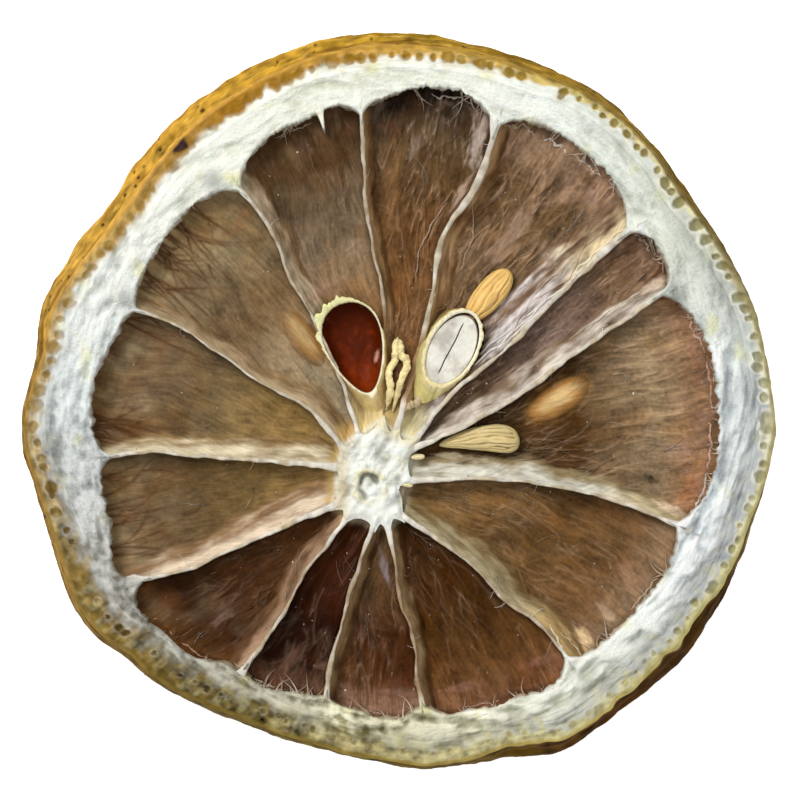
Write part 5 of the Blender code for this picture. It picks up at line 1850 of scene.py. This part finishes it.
def make_crumbs():
    """Small lumps: twelve-cornered balls pulled out of shape, resting on the films."""
    draw = np.random.default_rng(91)
    golden = (1 + 5**0.5) / 2
    corners = np.array([(-1, golden, 0), (1, golden, 0), (-1, -golden, 0), (1, -golden, 0)])
    corners = unit(np.concatenate([corners, np.roll(corners, 1, 1), np.roll(corners, 2, 1)]))
    gaps = np.linalg.norm(corners[:, None] - corners[None], axis=-1) < 1.2
    one, two, three = np.meshgrid(*[np.arange(12)] * 3, indexing="ij")
    side = gaps[one, two] & gaps[two, three] & gaps[one, three] & (one < two) & (two < three)
    faces = np.stack([one[side], two[side], three[side]], 1)
    inward = np.linalg.det(corners[faces]) < 0
    faces[inward] = faces[inward][:, ::-1]
    places = []
    for index in range(COUNT):
        many = 28 if index in (1, 2, 3, 4, 5) else 8
        share, across = draw.uniform(0.2, 1.0, many), draw.uniform(-0.95, 0.95, many)
        places.append(space_points(index, share, across)[0])
    plan = np.concatenate(places)
    size = draw.uniform(0.02, 0.05, len(plan)) * draw.choice((1.0, 1.0, 1.7), len(plan))
    stretch = draw.uniform(0.6, 1.5, (len(plan), 1, 3))
    middle = np.c_[plan, film_height(plan) + 0.6 * size]
    points = middle[:, None] + size[:, None, None] * stretch * corners
    faces = (np.arange(len(plan))[:, None, None] * 12 + faces).reshape(-1, 3)
    tones = paint(232, 214, 190) * draw.uniform(0.3, 1.0, len(plan))[:, None]
    tints = np.repeat(tones, 12, axis=0)
    add_piece("thread_crumbs", points.reshape(-1, 3), [faces], tints, thread_finish, "pulp")


make_crumbs()

# ---------------------------------------------------------------- Stage, light and camera
# The slice lies on a plain pale floor. A large soft lamp stands at the upper left, the sky fills
# the shadows and the camera looks straight down. Its height and the floor's side are in metres,
# and the view's side is in millimetres at the height of the rim.
FLOOR_SIDE = 3.0
CAMERA_HEIGHT = 0.6
VIEW_SIDE = 61.3

bpy.context.scene.view_settings.view_transform = "Standard"
floor_mesh = bpy.data.meshes.new("floor")
half_side = FLOOR_SIDE / 2
floor_corners = [(half_side * x, half_side * y, 0) for x, y in ((-1, -1), (1, -1), (1, 1), (-1, 1))]
floor_mesh.from_pydata(floor_corners, [], [(0, 1, 2, 3)])
floor = bpy.data.objects.new("floor", floor_mesh)
floor_paint = bpy.data.materials.new("floor_paint")
floor_paint.use_nodes = True
floor_shader = floor_paint.node_tree.nodes["Principled BSDF"]
floor_shader.inputs["Base Color"].default_value = (0.95, 0.95, 0.95, 1)
floor_shader.inputs["Roughness"].default_value = 0.8
floor_shader.inputs["Emission Color"].default_value = (1, 1, 1, 1)
floor_shader.inputs["Emission Strength"].default_value = 0.7
floor_mesh.materials.append(floor_paint)
bpy.context.scene.collection.objects.link(floor)


def add_lamp(name, side, power, place, colour):
    """A square area lamp at a place in metres, aimed at the slice."""
    lamp = bpy.data.lights.new(name, "AREA")
    lamp.size = side
    lamp.energy = power
    lamp.color = colour
    made = bpy.data.objects.new(name, lamp)
    made.location = place
    made.rotation_euler = (-Vector(place)).to_track_quat("-Z", "Y").to_euler()
    bpy.context.scene.collection.objects.link(made)


add_lamp("key_lamp", 0.36, 5.8, (-0.36, 0.4, 0.72), (1.0, 0.98, 0.95))
sky = bpy.data.worlds.new("sky")
sky.use_nodes = True
sky.node_tree.nodes["Background"].inputs["Color"].default_value = (0.98, 0.99, 0.97, 1)
sky.node_tree.nodes["Background"].inputs["Strength"].default_value = 0.66
bpy.context.scene.world = sky

lens = bpy.data.cameras.new("camera")
lens.sensor_width = 36
lens.lens = lens.sensor_width * (CAMERA_HEIGHT - RIM_HEIGHT * MM) / (VIEW_SIDE * MM)
lens.clip_start, lens.clip_end = 0.01, 10
camera = bpy.data.objects.new("camera", lens)
camera.location = (0, 0, CAMERA_HEIGHT)
bpy.context.scene.collection.objects.link(camera)
bpy.context.scene.camera = camera
